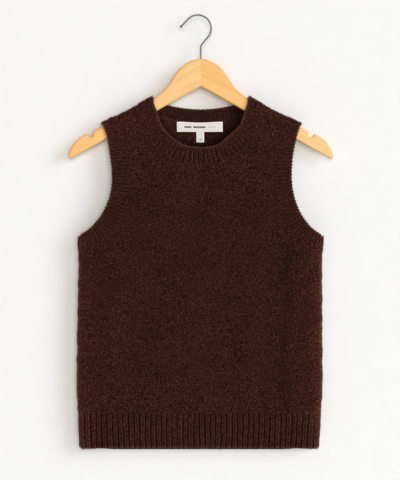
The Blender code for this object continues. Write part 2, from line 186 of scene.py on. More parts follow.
def ripple(u, p, size, seed, waves=14):
    """A smooth uneven field, mostly between -1 and 1, with bumps of this size."""
    chance = np.random.default_rng(seed)
    field = np.zeros(np.broadcast(u, p).shape)
    for _ in range(waves):
        angle, phase = chance.uniform(0, 2 * math.pi, 2)
        step = math.pi / (size * chance.uniform(0.7, 1.6))
        field += np.sin(step * (u * math.cos(angle) + p * math.sin(angle)) + phase)
    return field / math.sqrt(waves)


def distances(path):
    """How far along the path each of its points is."""
    steps = np.linalg.norm(np.diff(path, axis=0), axis=1)
    return np.concatenate([[0], np.cumsum(steps)])


def resample(path, fractions):
    """Points at these fractions of the path's length."""
    path = np.asarray(path, float)
    along = distances(path)
    return np.column_stack([np.interp(fractions, along / along[-1], path[:, k]) for k in (0, 1)])


def smooth_path(knots, fractions):
    """Points along a Catmull-Rom curve through the knots."""
    knots = np.asarray(knots, float)
    ends = 2 * knots[0] - knots[1], 2 * knots[-1] - knots[-2]
    padded = np.vstack([ends[0], knots, ends[1]])
    t = np.linspace(0, 1, KNOT_STEPS, endpoint=False)[:, None]
    fine = [
        0.5 * (2 * b + (c - a) * t + (2 * a - 5 * b + 4 * c - d) * t**2)
        + 0.5 * (3 * b - a - 3 * c + d) * t**3
        for a, b, c, d in zip(padded, padded[1:], padded[2:], padded[3:])
    ]
    return resample(np.vstack(fine + [knots[-1:]]), fractions)


SIDE_LINE = smooth_path(SIDE_FOLD, np.linspace(1, 0, SIDE_STEPS))


def ridge(u):
    """Height of the cloth's inner face where it lies along the top of the arm."""
    return ARM_TOP_AT_NECK + SEAT - ARM_SLOPE * (np.abs(u) - NECK_HALF)


def ridge_edge(u):
    """The pattern's own point on the shoulder line."""
    return Edge(u, float(ridge(u)) + RIDGE_EXTRA)


def side_half_width(p):
    return np.interp(p, SIDE_LINE[:, 0], SIDE_LINE[:, 1])


def fold_distance(u, p):
    """Distance on the pattern from the side fold, which starts at the underarm."""
    sideways = side_half_width(np.minimum(p, UNDERARM.p)) - np.abs(u)
    return np.hypot(np.maximum(sideways, 0), np.maximum(p - UNDERARM.p, 0))


def crease_depth(u, p, side):
    """How far the creases press the cloth in at these pattern points."""
    u = u + CREASE_WANDER * ripple(u, p, CREASE_WANDER_SIZE, 5 + side)
    drop = np.zeros(np.shape(u))
    for u0, p0, u1, p1, width, depth in CREASES[side]:
        run, rise, from_u, from_p = u1 - u0, p1 - p0, u - u0, p - p0
        share = np.clip((from_u * run + from_p * rise) / (run**2 + rise**2), 0, 1)
        drop += depth * near(np.hypot(from_u - share * run, from_p - share * rise), width)
    return drop


def drape(u, p, side):
    """World points of the cloth's inner face, for pattern points on one side."""
    from_ridge = np.maximum(ridge(u) + RIDGE_EXTRA - p, 0)
    turn = np.clip((from_ridge - RIDGE_FLAT) / RIDGE_RADIUS, 0, math.pi / 2)
    below = np.maximum(from_ridge - RIDGE_WRAP, 0)
    depth = np.minimum(from_ridge, RIDGE_FLAT) + RIDGE_RADIUS * np.sin(turn)
    pulls = (pull.shift * near(np.hypot(u - pull.u, p - pull.p), pull.reach) for pull in PULLS[side])
    pulled_u = u + sum(pulls)
    z = ridge(pulled_u) - RIDGE_RADIUS * (1 - np.cos(turn)) - below

    pulled_in = 1 - HEM_PULL * ease((HEM_PULL_START - z) / (HEM_PULL_START - HEM_SIDE))
    spare = DEPTH[side] * pulled_in - RIDGE_FLAT - RIDGE_RADIUS
    belly = spare * ease((below - BELLY_START) / BELLY_LENGTH)
    pressed = crease_depth(u, p, side) * ease((below - CREASE_START) / CREASE_REACH)
    inward = 1 - np.clip(fold_distance(u, p) / FOLD_RADIUS, 0, 1)
    y = side * (depth + belly - pressed) * np.sqrt(1 - inward**2)
    x = MIDDLE_X + pulled_u + LEAN * np.minimum(z - LEAN_START, 0) + SWAY * near(z - SWAY_Z, SWAY_REACH)
    return np.stack([x, y, z], axis=-1)


def outward(u, p, side):
    """The cloth's unit normals, away from the body, from two short steps inside it."""
    here = drape(u, p, side)
    inwards = np.where(u > 0, -STEP, STEP)
    across = (drape(u + inwards, p, side) - here) / inwards[..., None]
    up = (here - drape(u, p - STEP, side)) / STEP
    return unit(-side * np.cross(across, up))


def pattern(grid):
    return grid.flat[..., 0], grid.flat[..., 1]


def lay(flat, side, along):
    """A grid of pattern points with their places, normals and distances along a rib's row."""
    u, p = flat[..., 0], flat[..., 1]
    return Grid(drape(u, p, side), outward(u, p, side), flat, along)


def join(grids):
    return Grid(*(np.concatenate(layers) for layers in zip(*grids)))


def lift(grid, offset, side=None):
    """The grid moved along its normals. A split piece stays on its side of the seam."""
    moved = grid.base + grid.normal * offset[..., None]
    if side is not None:
        moved[..., 1] = side * np.maximum(side * moved[..., 1], SPLIT / 2)
    return moved


# ---------------- lines of the pattern


def across_directions(edge, turn, start, end, start_reach, end_reach):
    """Unit directions across a band, square to its edge and led to fixed ends."""
    tangent = np.gradient(edge, axis=0)
    square = unit(turn * np.column_stack([-tangent[:, 1], tangent[:, 0]]))
    along = distances(edge)
    first = 1 - ease((along - RIDGE_WRAP) / start_reach)[:, None]
    last = 1 - ease((along[-1] - along) / end_reach)[:, None]
    return unit(square * (1 - first) * (1 - last) + np.array(start) * first + np.array(end) * last)


def stations(length, step, fold_cells=0):
    """Fractions of a seam from the shoulder, closer where it wraps the arm or a fold."""
    wrap, fold = RIDGE_WRAP / length, FOLD_RADIUS / length if fold_cells else 0
    over_arm = np.linspace(0, wrap, math.ceil(WRAP_FINER * RIDGE_WRAP / step) + 1)[:-1]
    cells = math.ceil((1 - wrap - fold) * length / step)
    round_fold = 1 - fold * (1 - np.sin(np.linspace(0, math.pi / 2, fold_cells + 1)))
    return np.concatenate([over_arm, np.linspace(wrap, 1 - fold, cells + 1)[:-1], round_fold])


def neck_half(side, step):
    """Free edge, directions and widths of half the neckband, shoulder to middle."""
    knots, middle = NECK_LINES[side]
    fractions = stations(NECK_LENGTH[side], step)
    edge = smooth_path([ridge_edge(NECK_END), *knots], fractions)
    directions = across_directions(edge, 1, DOWN_SHOULDER, (0, -1), *NECK_REACHES)
    return edge, directions, blend(NECK_BAND, middle, fractions / BACK_NARROWS_OVER)


def arm_half(step):
    """The same for an armhole band, from the shoulder to the underarm."""
    fractions = stations(ARMHOLE_LENGTH, step, math.ceil(FOLD_FINER * FOLD_RADIUS / step))
    edge = smooth_path([ridge_edge(SHOULDER_HALF), *ARMHOLE], fractions)
    down_fold = unit(np.array((side_half_width(UNDERARM.p - ARM_BAND) - UNDERARM.u, -ARM_BAND)))
    directions = across_directions(edge, -1, -DOWN_SHOULDER, down_fold, *ARM_REACHES)
    return edge, directions, np.full(len(edge), ARM_BAND)


def band_lines(half, shares, beyond):
    """Pattern lines along a band, at these shares of its width, inside the folds."""
    edge, directions, widths = half
    across = np.multiply.outer(widths + beyond, shares)
    flat = edge[:, None] + directions[:, None] * across[..., None]
    flat[..., 0] = np.minimum(flat[..., 0], side_half_width(flat[..., 1]))
    return flat


# ---------------- meshes

SHELL_MAP, PATTERN_MAP = "OFBake", "Pattern"


def link(name, data):
    made = bpy.data.objects.new(name, data)
    bpy.context.scene.collection.objects.link(made)
    return made


def mesh_object(name, points, faces, material):
    data = bpy.data.meshes.new(name)
    data.from_pydata(points, [], faces)
    data.materials.append(material)
    return link(name, data)


def store(made, attribute, values):
    """A number for each point of the mesh, which its material reads."""
    layer = made.data.attributes.new(attribute, "FLOAT", "POINT")
    layer.data.foreach_set("value", np.ascontiguousarray(values, dtype=np.float32).ravel())


def store_map(made, name, places):
    """A UV map that gives each point of the mesh one place."""
    corners = np.empty(len(made.data.loops), dtype=np.int32)
    made.data.loops.foreach_get("vertex_index", corners)
    layer = made.data.uv_layers.new(name=name)
    layer.uv.foreach_set("vector", places[corners].astype(np.float32).ravel())


def grid_faces(index):
    corners = index[:-1, :-1], index[:-1, 1:], index[1:, 1:], index[1:, :-1]
    return np.stack([corner.ravel() for corner in corners], axis=1)


def shell(name, grid, walls, heights, stitches, material, ring=False):
    """A closed sheet between two grids of points. A ring's last row joins its first.

    walls and heights are of the inside and the outside. A height is a point's relief,
    from 0 in a furrow to 1 on a crest, and stitches are the places on the stitch
    pattern, in metres.
    """
    inner, outer = walls
    rows, columns = inner.shape[:2]
    count = rows * columns
    index = np.arange(count).reshape(rows, columns)
    if ring:
        index = np.vstack([index, index[:1]])
    rims = [(index[:, 0], 1), (index[:, -1], -1)]
    if not ring:
        rims += [(index[0], -1), (index[-1], 1)]
    faces = [grid_faces(index), grid_faces(index + count)[:, ::-1]]
    for line, way in rims:
        strip = np.stack([line[:-1], line[1:], line[1:] + count, line[:-1] + count], axis=1)
        faces.append(strip[:, ::way])
    points = np.concatenate([inner.reshape(-1, 3), outer.reshape(-1, 3)])
    a, b, d = outer[0, 0], outer[0, 1], outer[1, 0]
    if np.dot(np.cross(d - a, b - a), grid.normal[0, 0]) < 0:
        faces = [part[:, ::-1] for part in faces]
    made = mesh_object(name, points, np.concatenate(faces).tolist(), material)
    made.data.shade_smooth()
    store(made, "height", np.concatenate([height.ravel() for height in heights]))
    flat = stitches.reshape(-1, 2)
    store_map(made, PATTERN_MAP, np.concatenate([flat, flat]))
    places = np.stack(np.meshgrid(*(np.linspace(0.01, 0.99, n) for n in (columns, rows))), -1)
    places = places.reshape(-1, 2) * (0.5, 1)
    store_map(made, SHELL_MAP, np.concatenate([places, places + (0.5, 0)]))
    return made


# ---------------- knitted pieces

EDGE_ROUND, THINNEST = 0.0016, 0.03
ROUND_ANGLES = np.radians((22, 40, 60, 90))
EDGE_ROLL, EDGE_ROLL_AT, EDGE_ROLL_WIDTH = 0.0007, 0.0022, 0.0016
EDGE_WORN = 0.0004
EDGE_SCALLOP, EDGE_SCALLOP_REACH, SCALLOP_LEVEL = 0.0020, 0.0035, 0.6
CORNER_BLUNT, CORNER_REACH = 0.0026, 0.0032
SEAM_TUCK = 0.0016
SEAM_WANDER, SEAM_WANDER_SIZE = 0.0012, 0.009
SEAM_TAPER = 0.0030
SEAM_LEFT = 0.62
PANEL_TUCK = 0.0004
PANEL_THIN = 0.72
RIB_RELIEF, INSIDE_RELIEF = 0.0022, 0.5
RIB_STAND = 0.0005
RIB_FADE = 0.0045
RIB_BLUR, RIB_BLUR_SIZES = 0.045, (0.010, 0.040)
RIB_WORN, RIB_WORN_SIZE = 0.08, 0.008
RIB_STEPS = 10
RIB_SHARPNESS = 0.95
RIB_SHIFT = 0.08
RIB_STRENGTHS = 0.90, 1.0
WALE_DIP, WALE_DIP_WIDTH = 0.20, 0.09
PUFF_REACH, PUFF_ROUND = 0.011, 0.25
# How much the cloth puffs up on the shoulder, by distance from the middle
SHOULDER_PUFF = (
    (0, 0.0014), (0.088, 0.0014), (0.105, 0.0009), (0.125, 0.0009), (0.142, 0.0025), (1, 0.0025),
)
FOLD_PUFF, HEM_FOLD_PUFF, FOLD_PUFF_REACH = 0.0003, 0.0002, 0.012
HEM_PUFF_FADE = 0.010
FOLD_FILL, FOLD_FILL_REACH = 0.60, 0.0030
BAND_CELL = 0.0022
NECK_PITCH = 0.0076
ARM_PITCH = 0.0061
HEM_PITCH = 0.0093
PANEL_CELL = {FRONT: 0.0023, BACK: 0.0029}
TUFT_SIZE, TUFT_RELIEF, TUFT_STRETCH, TUFT_WAVES = 0.0045, 0.00034, 0.55, 40
SWELL_SIZE, SWELL_RELIEF = 0.0140, 0.00016
PANEL_HEIGHT, TUFT_HEIGHT, SWELL_HEIGHT = 0.72, 0.14, 0.06


def rib_heights(grid, count, seed, full):
    """Heights of ribbed cloth inside and out, 0 in a furrow to 1, and the ribs' phase.

    A crest is two wales with a shallow dip between them, and lies behind a furrow of
    the other face. full is the share of the ribs' whole depth at each point, less
    where the nap has filled them.
    """
    chance = np.random.default_rng(seed)
    u, p = pattern(grid)
    shifts = chance.uniform(-RIB_SHIFT, RIB_SHIFT, count)
    strengths = chance.uniform(*RIB_STRENGTHS, count)
    blurs = (ripple(u, p, size, k) for size, k in zip(RIB_BLUR_SIZES, (seed, 9)))
    phase = grid.along + RIB_BLUR * sum(blurs)
    furrow = np.round(phase).astype(int) % count
    phase = phase + shifts[furrow] * np.cos(math.pi * (phase - np.round(phase))) ** 2
    wave, other = (np.abs(f(math.pi * phase)) ** RIB_SHARPNESS for f in (np.sin, np.cos))
    worn = 1 + RIB_WORN * ripple(u, p, RIB_WORN_SIZE, seed + 1)
    depth = np.clip(strengths[furrow] * worn * full, 0, 1)
    dip = WALE_DIP * full * near(phase % 1 - 0.5, WALE_DIP_WIDTH)
    outside = np.clip(1 - depth * (1 - wave) - dip, 0, 1)
    return (1 - depth * (1 - other), outside), phase


def rounding(distance, radius):
    """Share of the sheet's thickness left at this distance from a rounded edge."""
    return np.sqrt(np.clip(1 - (1 - np.clip(distance / radius, 0, 1)) ** 2, THINNEST, 1))


def puff(u, p):
    """Extra loft where the cloth bends over the shoulder and round the side fold."""
    loft = np.interp(np.abs(u), *zip(*SHOULDER_PUFF))
    from_ridge = np.maximum(ridge(u) + RIDGE_WRAP - p, 0)
    at_fold = FOLD_PUFF + HEM_FOLD_PUFF * ease((HEM_TOP + HEM_PUFF_FADE - p) / (2 * HEM_PUFF_FADE))
    return loft * near(from_ridge, PUFF_REACH) + at_fold * near(fold_distance(u, p), FOLD_PUFF_REACH)


def rib_walls(grid, heights, from_edge, from_seam):
    """Offsets of both faces of ribbed cloth, whose crests inside are furrows outside.

    Towards the seam the ribs fade, and the rib's last rows thin down into the panel.
    """
    u, p = pattern(grid)
    wander = SEAM_WANDER * ripple(u, p, SEAM_WANDER_SIZE, 7)
    near_seam = ease((from_seam - SEAM_TUCK + wander) / RIB_FADE)
    inside, outside = heights
    loft = puff(u, p)
    outer = KNIT + (RIB + RIB_STAND - RIB_RELIEF * (1 - outside) - KNIT) * near_seam
    inner = RIB_RELIEF * INSIDE_RELIEF * (1 - inside) * near_seam
    outer = outer + EDGE_ROLL * near(from_edge - EDGE_ROLL_AT, EDGE_ROLL_WIDTH)
    outer = outer + TUFT_RELIEF * ripple(u, p, TUFT_SIZE, 8, TUFT_WAVES) + loft
    middle, half = (outer + inner) / 2, (outer - inner) / 2
    half = half * rounding(from_edge + EDGE_WORN * (1 - outside), EDGE_ROUND + PUFF_ROUND * loft)
    half = half * blend(SEAM_LEFT, 1, from_seam / SEAM_TAPER)
    return middle - half, middle + half


def scalloped(grid, walls, height, from_edge):
    """Both faces, the free edge further out on a crest, and blunt where it meets a fold."""
    outwards = unit(grid.base[:, :1] - grid.base[:, -1:])
    shift = EDGE_SCALLOP * (height - SCALLOP_LEVEL) * near(from_edge, EDGE_SCALLOP_REACH)
    move = outwards * shift[..., None]
    u, p = pattern(grid)
    corner = near(np.hypot(fold_distance(u, p), from_edge), CORNER_REACH)
    move[..., 0] -= np.sign(u) * CORNER_BLUNT * corner
    return [wall + move for wall in walls]


def ribbed(name, grid, count, seed, full, from_edge, from_seam, material, side=None):
    """A ribbed cloth on a grid. One with no side is a band: a ring with a scalloped edge."""
    heights, phase = rib_heights(grid, count, seed, full)
    offsets = rib_walls(grid, heights, from_edge, from_seam)
    walls = [lift(grid, offset, side) for offset in offsets]
    if side is None:
        walls = scalloped(grid, walls, heights[1], from_edge)
    stitches = np.stack([phase * HEM_PITCH, from_edge], axis=-1)
    made = shell(name, grid, walls, heights, stitches, material, ring=side is None)
    return Cloth(made, grid, walls, heights)


def across_band(width, cell):
    """Distances across a band from its free edge, closer at both ends."""
    free = EDGE_ROUND * (1 - np.cos(ROUND_ANGLES))
    cells = math.ceil((width - free[-1] - SEAM_TAPER) / cell)
    middle = np.linspace(free[-1], width - SEAM_TAPER, cells + 1)
    seam_cells = math.ceil(FOLD_FINER * SEAM_TAPER / cell)
    seam = np.linspace(width - SEAM_TAPER, width, seam_cells + 1)
    return np.concatenate([[0], free[:-1], middle, seam[1:]])


def band_half(half, side, mirror):
    """Half a band on one side of the vest, with its distance along the middle line."""
    flat = band_lines(half, across_band(NECK_BAND, BAND_CELL) / NECK_BAND, SEAM_TUCK)
    along = distances(flat[:, flat.shape[1] // 2])[:, None] + np.zeros(flat.shape[:2])
    return lay(flat * (mirror, 1), side, along)


def run_on(grids):
    """The grids joined in a row, with their distances added up. Every second one is turned."""
    total, joined = 0.0, []
    for number, grid in enumerate(grids):
        length = grid.along.max()
        if number % 2:
            grid = Grid(*(layer[::-1] for layer in grid))
            grid = grid._replace(along=length - grid.along)
        grid = grid._replace(along=grid.along + total)
        joined.append(Grid(*(layer[:-1] for layer in grid)))
        total += length
    return join(joined), total


def band(name, halves, pitch, seed, full, material):
    """A ribbed band, knitted round in one ring."""
    grid, length = run_on(halves)
    count = round(length / pitch)
    grid = grid._replace(along=grid.along / length * count)
    widths = np.linalg.norm(grid.flat[:, -1] - grid.flat[:, 0], axis=1)
    from_edge = np.multiply.outer(widths, across_band(NECK_BAND, BAND_CELL) / NECK_BAND)
    from_seam = widths[:, None] - from_edge
    return ribbed(name, grid, count, seed, full(grid), from_edge, from_seam, material)


def column_places(cell):
    """Places of the columns, from 0 in the middle to 1 at the side fold, in two parts."""
    cells = math.ceil(UNDERARM.u / cell)
    on_neck = np.linspace(0, NECK_SHARE, math.ceil(cells * NECK_SHARE) + 1)
    at_fold = 1 - FOLD_RADIUS / UNDERARM.u
    middle = np.linspace(NECK_SHARE, at_fold, math.ceil(cells * (at_fold - NECK_SHARE)) + 1)
    turns = math.ceil(FOLD_FINER * FOLD_RADIUS / cell)
    fold = at_fold + (1 - at_fold) * np.sin(np.linspace(0, math.pi / 2, turns + 1))
    return on_neck, np.concatenate([middle, fold[1:]])


def panel_grid(side, cell):
    """Front or back, from the top of the hem rib to the shoulders and the neck seam."""
    neck_line = band_lines(neck_half(side, cell / 2), [1], -PANEL_TUCK)[:, 0]
    arm_line = band_lines(arm_half(cell / 2), [1], -PANEL_TUCK)[:, 0]
    neck_line[0] = np.array(ridge_edge(neck_line[0][0])) - (0, SPLIT / 2)
    arm_line[0] = np.array(ridge_edge(arm_line[0][0])) - (0, SPLIT / 2)

    on_neck, on_shoulder = column_places(cell)
    across = np.concatenate([on_neck, on_shoulder[1:]])
    neck = resample(neck_line[::-1], on_neck / NECK_SHARE)
    shoulder_share = (on_shoulder[1:] - NECK_SHARE) / (1 - NECK_SHARE)
    shoulder = neck[-1] + shoulder_share[:, None] * (arm_line[0] - neck[-1])
    top = np.vstack([neck, shoulder])

    rise = 1 - stations(ARMHOLE_LENGTH, cell, math.ceil(FOLD_RADIUS / cell))[::-1]
    armhole = resample(arm_line[::-1], rise)
    lower_cells = math.ceil((armhole[0][1] - HEM_TOP) / cell)
    side_p = np.linspace(HEM_TOP - PANEL_TUCK, armhole[0][1], lower_cells + 1)
    side_line = np.column_stack([side_half_width(side_p), side_p])
    side_line = np.vstack([side_line, armhole[1:]])
    lower = np.linspace(0, UNDERARM_SHARE, lower_cells + 1)
    up = np.concatenate([lower, UNDERARM_SHARE + (1 - UNDERARM_SHARE) * rise[1:]])

    corner = side_line[0]
    foot = np.column_stack([across * corner[0], np.full(len(across), corner[1])])
    level = up[:, None, None]
    half = foot + (top - foot) * level
    shift = side_line - corner - (top[-1] - corner) * up[:, None]
    half = half + (across**2)[None, :, None] * shift[:, None, :]
    flat = np.concatenate([half[:, :0:-1] * (-1, 1), half], axis=1)
    return lay(flat, side, flat[..., 0])


def tucked(outer, inner):
    """Both offsets, with the first and last rows and columns thinned into the ribs."""
    half = (outer - inner) / 2 * np.ones(outer.shape)
    middle = (outer + inner) / 2
    for line in (np.s_[0, :], np.s_[-1, :], np.s_[:, 0], np.s_[:, -1]):
        half[line] *= PANEL_THIN
    return middle - half, middle + half


def panel(side, seed, material):
    grid = panel_grid(side, PANEL_CELL[side])
    u, p = pattern(grid)
    tufts = ripple(u, p * TUFT_STRETCH, TUFT_SIZE, seed, TUFT_WAVES)
    swells = ripple(u, p, SWELL_SIZE, seed + 1)
    relief = TUFT_RELIEF * tufts + SWELL_RELIEF * swells
    inner = np.clip(TUFT_RELIEF * ripple(u, p, TUFT_SIZE, seed + 2), 0, None)
    walls = [lift(grid, offset, side) for offset in tucked(KNIT + relief + puff(u, p), inner)]
    heights = (np.clip(PANEL_HEIGHT + TUFT_HEIGHT * tufts + SWELL_HEIGHT * swells, 0, 1),) * 2
    made = shell(SIDE_NAME[side] + "_knit", grid, walls, heights, grid.flat, material)
    return Cloth(made, grid, walls, heights)


def hem(side, seed, material):
    """Ribbed welt under a panel. Its corners are rounded."""
    cell = HEM_PITCH / RIB_STEPS
    half = np.concatenate([part[bool(k):] for k, part in enumerate(column_places(cell))])
    share = np.concatenate([-half[:0:-1], half])
    start = HEM_TOP + SEAM_TUCK
    bottom = blend(HEM_SIDE, HEM_MIDDLE[side], (1 - np.abs(share)) / HEM_DROP_SHARE)
    height = start - HEM_SIDE
    levels = []
    for t in 1 - across_band(height, BAND_CELL)[::-1] / height:
        p = start + (bottom - start) * t
        near_side = np.clip(HEM_CORNER - side_half_width(p) * (1 - np.abs(share)), 0, HEM_CORNER)
        p = p + t**4 * (HEM_CORNER - np.sqrt(HEM_CORNER**2 - near_side**2))
        levels.append(np.column_stack([share * side_half_width(p), p]))
    flat = np.array(levels)
    count = round(2 * UNDERARM.u / HEM_PITCH)
    grid = lay(flat, side, np.broadcast_to((share + 1) / 2 * count, flat.shape[:2]))
    full = 1 - FOLD_FILL * near(fold_distance(*pattern(grid)), FOLD_FILL_REACH)
    from_edge, from_seam = (np.linalg.norm(flat - flat[row], axis=-1) for row in (-1, 0))
    name = f"hem_{SIDE_NAME[side]}_rib"
    return ribbed(name, grid, count, seed, full, from_edge, from_seam, material, side)


# ---------------- brushed nap

Nap = namedtuple("Nap", "count length width lift spread axis")
SHORTEST, LONGEST = 0.5, 1.4
FLYAWAY, FLYAWAY_LIFT = 0.10, (0.35, 0.95)
AGAINST_LIE, ROOTED = 0.3, 0.5
FLYAWAY_WIDTH = 0.6
CORNERS = np.radians((90, 210, 330))


def nap_mesh(name, faces_of_cloth, nap, seed, material):
    """Loose fibres on a sheet: closed three-sided needles, rooted just under its face.

    They lie along one axis of the grid, spread to both sides and lifted a little. Each
    face of the cloth is its points, normals and the share of fibres at each point.
    """
    chance = np.random.default_rng(seed)
    corners, out, main, weight = [], [], [], []
    for points, normals, share in faces_of_cloth:
        a, b, c, d = points[:-1, :-1], points[:-1, 1:], points[1:, :-1], points[1:, 1:]
        weight.append((np.linalg.norm(np.cross(b - a, c - a), axis=-1) * share[:-1, :-1]).ravel())
        corners.append(np.stack([a, b, c, d], axis=2).reshape(-1, 4, 3))
        out.append(normals[:-1, :-1].reshape(-1, 3))
        main.append(((b, c)[nap.axis == 0] - a).reshape(-1, 3))
    weight = np.concatenate(weight)
    cells = chance.choice(weight.size, nap.count, p=weight / weight.sum())
    corners, out, main = (np.concatenate(parts)[cells] for parts in (corners, out, main))
    s, t = chance.random((2, nap.count, 1))
    upper = corners[:, 0] * (1 - s) + corners[:, 1] * s
    root = upper * (1 - t) + (corners[:, 2] * (1 - s) + corners[:, 3] * s) * t
    main = unit(main - out * (main * out).sum(axis=1, keepdims=True))
    main *= chance.choice((-1, 1), (nap.count, 1), p=(AGAINST_LIE, 1 - AGAINST_LIE))
    cross = np.cross(out, main)

    angle = chance.normal(0, nap.spread, (nap.count, 1))
    rise = np.abs(chance.normal(0, nap.lift, (nap.count, 1)))
    flies = chance.random((nap.count, 1)) < FLYAWAY
    rise = np.where(flies, chance.uniform(*FLYAWAY_LIFT, (nap.count, 1)), rise)
    way = np.cos(rise) * (np.cos(angle) * main + np.sin(angle) * cross) + np.sin(rise) * out
    side = unit(np.cross(way, out))
    over = np.cross(side, way)
    length = nap.length * chance.uniform(SHORTEST, LONGEST, (nap.count, 1))
    radius = nap.width / math.sqrt(3) * np.where(flies, FLYAWAY_WIDTH, 1)
    start = root - out * radius * ROOTED
    base = [start + radius * (side * math.cos(k) + over * math.sin(k)) for k in CORNERS]
    needles = np.stack([*base, start + way * length], axis=1)

    index = 4 * np.arange(nap.count)[:, None, None]
    faces = index + np.array([(2, 1, 0), (0, 1, 3), (1, 2, 3), (2, 0, 3)])
    made = mesh_object(name, needles.reshape(-1, 3), faces.reshape(-1, 3).tolist(), material)
    store(made, "tone", np.repeat(chance.random(nap.count), 4))
    across = math.ceil(math.sqrt(nap.count))
    cell = np.stack(np.divmod(np.arange(nap.count), across), axis=1)[:, None, None] / across
    spots = [[(0, 1), (0.5, 0.94), (1, 1)]]
    spots += [[(k / 3, 0), ((k + 1) / 3, 0), ((k + 0.5) / 3, 0.9)] for k in range(3)]
    layer = made.data.uv_layers.new(name=SHELL_MAP)
    layer.uv.foreach_set("vector", (cell + np.array(spots) / across).astype(np.float32).ravel())
    return made


# ---------------- labels

LABEL_U = (-0.0405, 0.0369)
LABEL_P = (-0.1782, -0.1951)
TAB_U = (-0.0077, 0.0053)
TAB_LENGTH = 0.0175
LABEL_CELL = 0.0008
LABEL_CLEAR = 0.0006
LABEL_DIP = 0.0014
LABEL_BOW, LABEL_BOW_SIZE = 0.0006, 0.018
LABEL_RIM, LABEL_RIM_WIDTH = 0.55, 0.0012


def label(node, u_range, p_range, dip, look, bars, gap=None):
    """A woven label on the inside of the back. It bows a little off the cloth."""
    sizes = [round(abs(end - start), 6) for start, end in (u_range, p_range)]
    columns, rows = (math.ceil(size / LABEL_CELL) for size in sizes)
    u, p = np.meshgrid(np.linspace(*u_range, columns + 1), np.linspace(*p_range, rows + 1))
    across, down = (u - u_range[0]) / sizes[0], (p_range[0] - p) / sizes[1]
    p = p - dip * (1 - down) * np.sin(math.pi * across) ** 2
    grid = lay(np.stack([u, p], axis=-1), BACK, u)
    bow = LABEL_BOW * np.sin(math.pi * across) * ripple(u, p, LABEL_BOW_SIZE, 3)
    middle = -LABEL_CLEAR - np.abs(bow) - LABEL / 2
    ways = zip((across, down), sizes)
    from_edge = np.minimum(*(np.minimum(share, 1 - share) * size for share, size in ways))
    half = LABEL / 2 * blend(LABEL_RIM, 1, from_edge / LABEL_RIM_WIDTH)
    walls = lift(grid, middle + half), lift(grid, middle - half)
    places = np.stack([across * sizes[0], down * sizes[1]], axis=-1)
    heights = (np.ones(u.shape),) * 2
    inwards = grid._replace(normal=-grid.normal)
    made = shell(node + "_woven", inwards, walls, heights, places, woven_label(look, sizes, bars, gap))
    finish_cloth(made, node)


# ---------------- hanger

WOOD_THICK = 0.012
WOOD_ROUND, WOOD_ROUND_STEPS = 0.0035, 5
WOOD_SMOOTH = math.radians(40)
WOOD_GAP = 0.00008
HANGER_TOP = -0.0727
APEX_UNDER = -0.1193
TIP_U = 0.2212
TIP_Z = -0.2422
NOTCH_U = 0.1858
NOTCH_Z = -0.2002
NOTCH_RADIUS = 0.0044
STRAIGHT_TOP_U = 0.0786
BORE_DEPTH, BORE_SIDES = 0.0215, 32
DOME_STEPS, NOTCH_STEPS, TIP_STEPS = 48, 20, 32
WELD = 1e-6

# The hanger's outline, as (u, z): the dome in its middle and the curve at its tip
DOME = (
    (0.0000, HANGER_TOP), (0.0169, -0.0767), (0.0313, -0.0860), (0.0423, -0.0984),
    (0.0524, -0.1144), (0.0634, -0.1272),
)
TIP_CURVE = (
    (0.1912, -0.1992), (0.1985, -0.2025), (0.2062, -0.2079), (0.2141, -0.2162),
    (0.2200, -0.2265), (0.2227, -0.2350), (0.2228, -0.2392),
)

WIRE_RADIUS, WIRE_ROUND_STEPS = 0.0014, 6
HOOK_RADIUS, HOOK_STEPS = 0.0226, 72
STEM_IN_WOOD = 0.020
LOWER_BEND_RADIUS, LOWER_BEND_STEPS = 0.010, 12
RISE_ANGLE = math.radians(50)
LEAVE_ANGLE = math.radians(137)
HOOK_END = 0.0186
TIP_FLARE = (1.0, 1.0, 1.45, 1.62, 1.66, 1.6, 1.3, 0.6)
TIP_LENGTH = 0.0032


def arm_top(u):
    return u, ARM_TOP_AT_NECK - ARM_SLOPE * (u - NECK_HALF)


def heading(angle):
    return np.stack([np.cos(angle), np.sin(angle)], axis=-1)


def arc(centre, radius, start, end, count):
    return np.array(centre) + radius * heading(np.linspace(start, end, count))


def poly_curve(name, points, bevel, bevel_steps, **settings):
    """An object of one curve through these (x, y, z) points, and its spline."""
    curve = bpy.data.curves.new(name, "CURVE")
    for key, value in settings.items():
        setattr(curve, key, value)
    curve.bevel_depth, curve.bevel_resolution = bevel, bevel_steps
    spline = curve.splines.new("POLY")
    spline.points.add(len(points) - 1)
    for point, place in zip(spline.points, points):
        point.co = (*place, 1)
    return link(name, curve), spline


def arm_outline():
    """Right-hand half of the hanger's outline, from the top round to the apex."""
    right = [*DOME, arm_top(STRAIGHT_TOP_U)]
    left = [(-u, z) for u, z in right[:0:-1]]
    dome = smooth_path(left + right, np.linspace(0.5, 1, DOME_STEPS))
    notch = arc((NOTCH_U, NOTCH_Z), NOTCH_RADIUS, math.pi, 2 * math.pi, NOTCH_STEPS)
    tip = smooth_path(TIP_CURVE, np.linspace(0, 1, TIP_STEPS))
    lower_edge = [(TIP_U, TIP_Z), (0, APEX_UNDER)]
    return np.vstack([dome, arm_top(NOTCH_U - NOTCH_RADIUS), notch, tip, lower_edge])


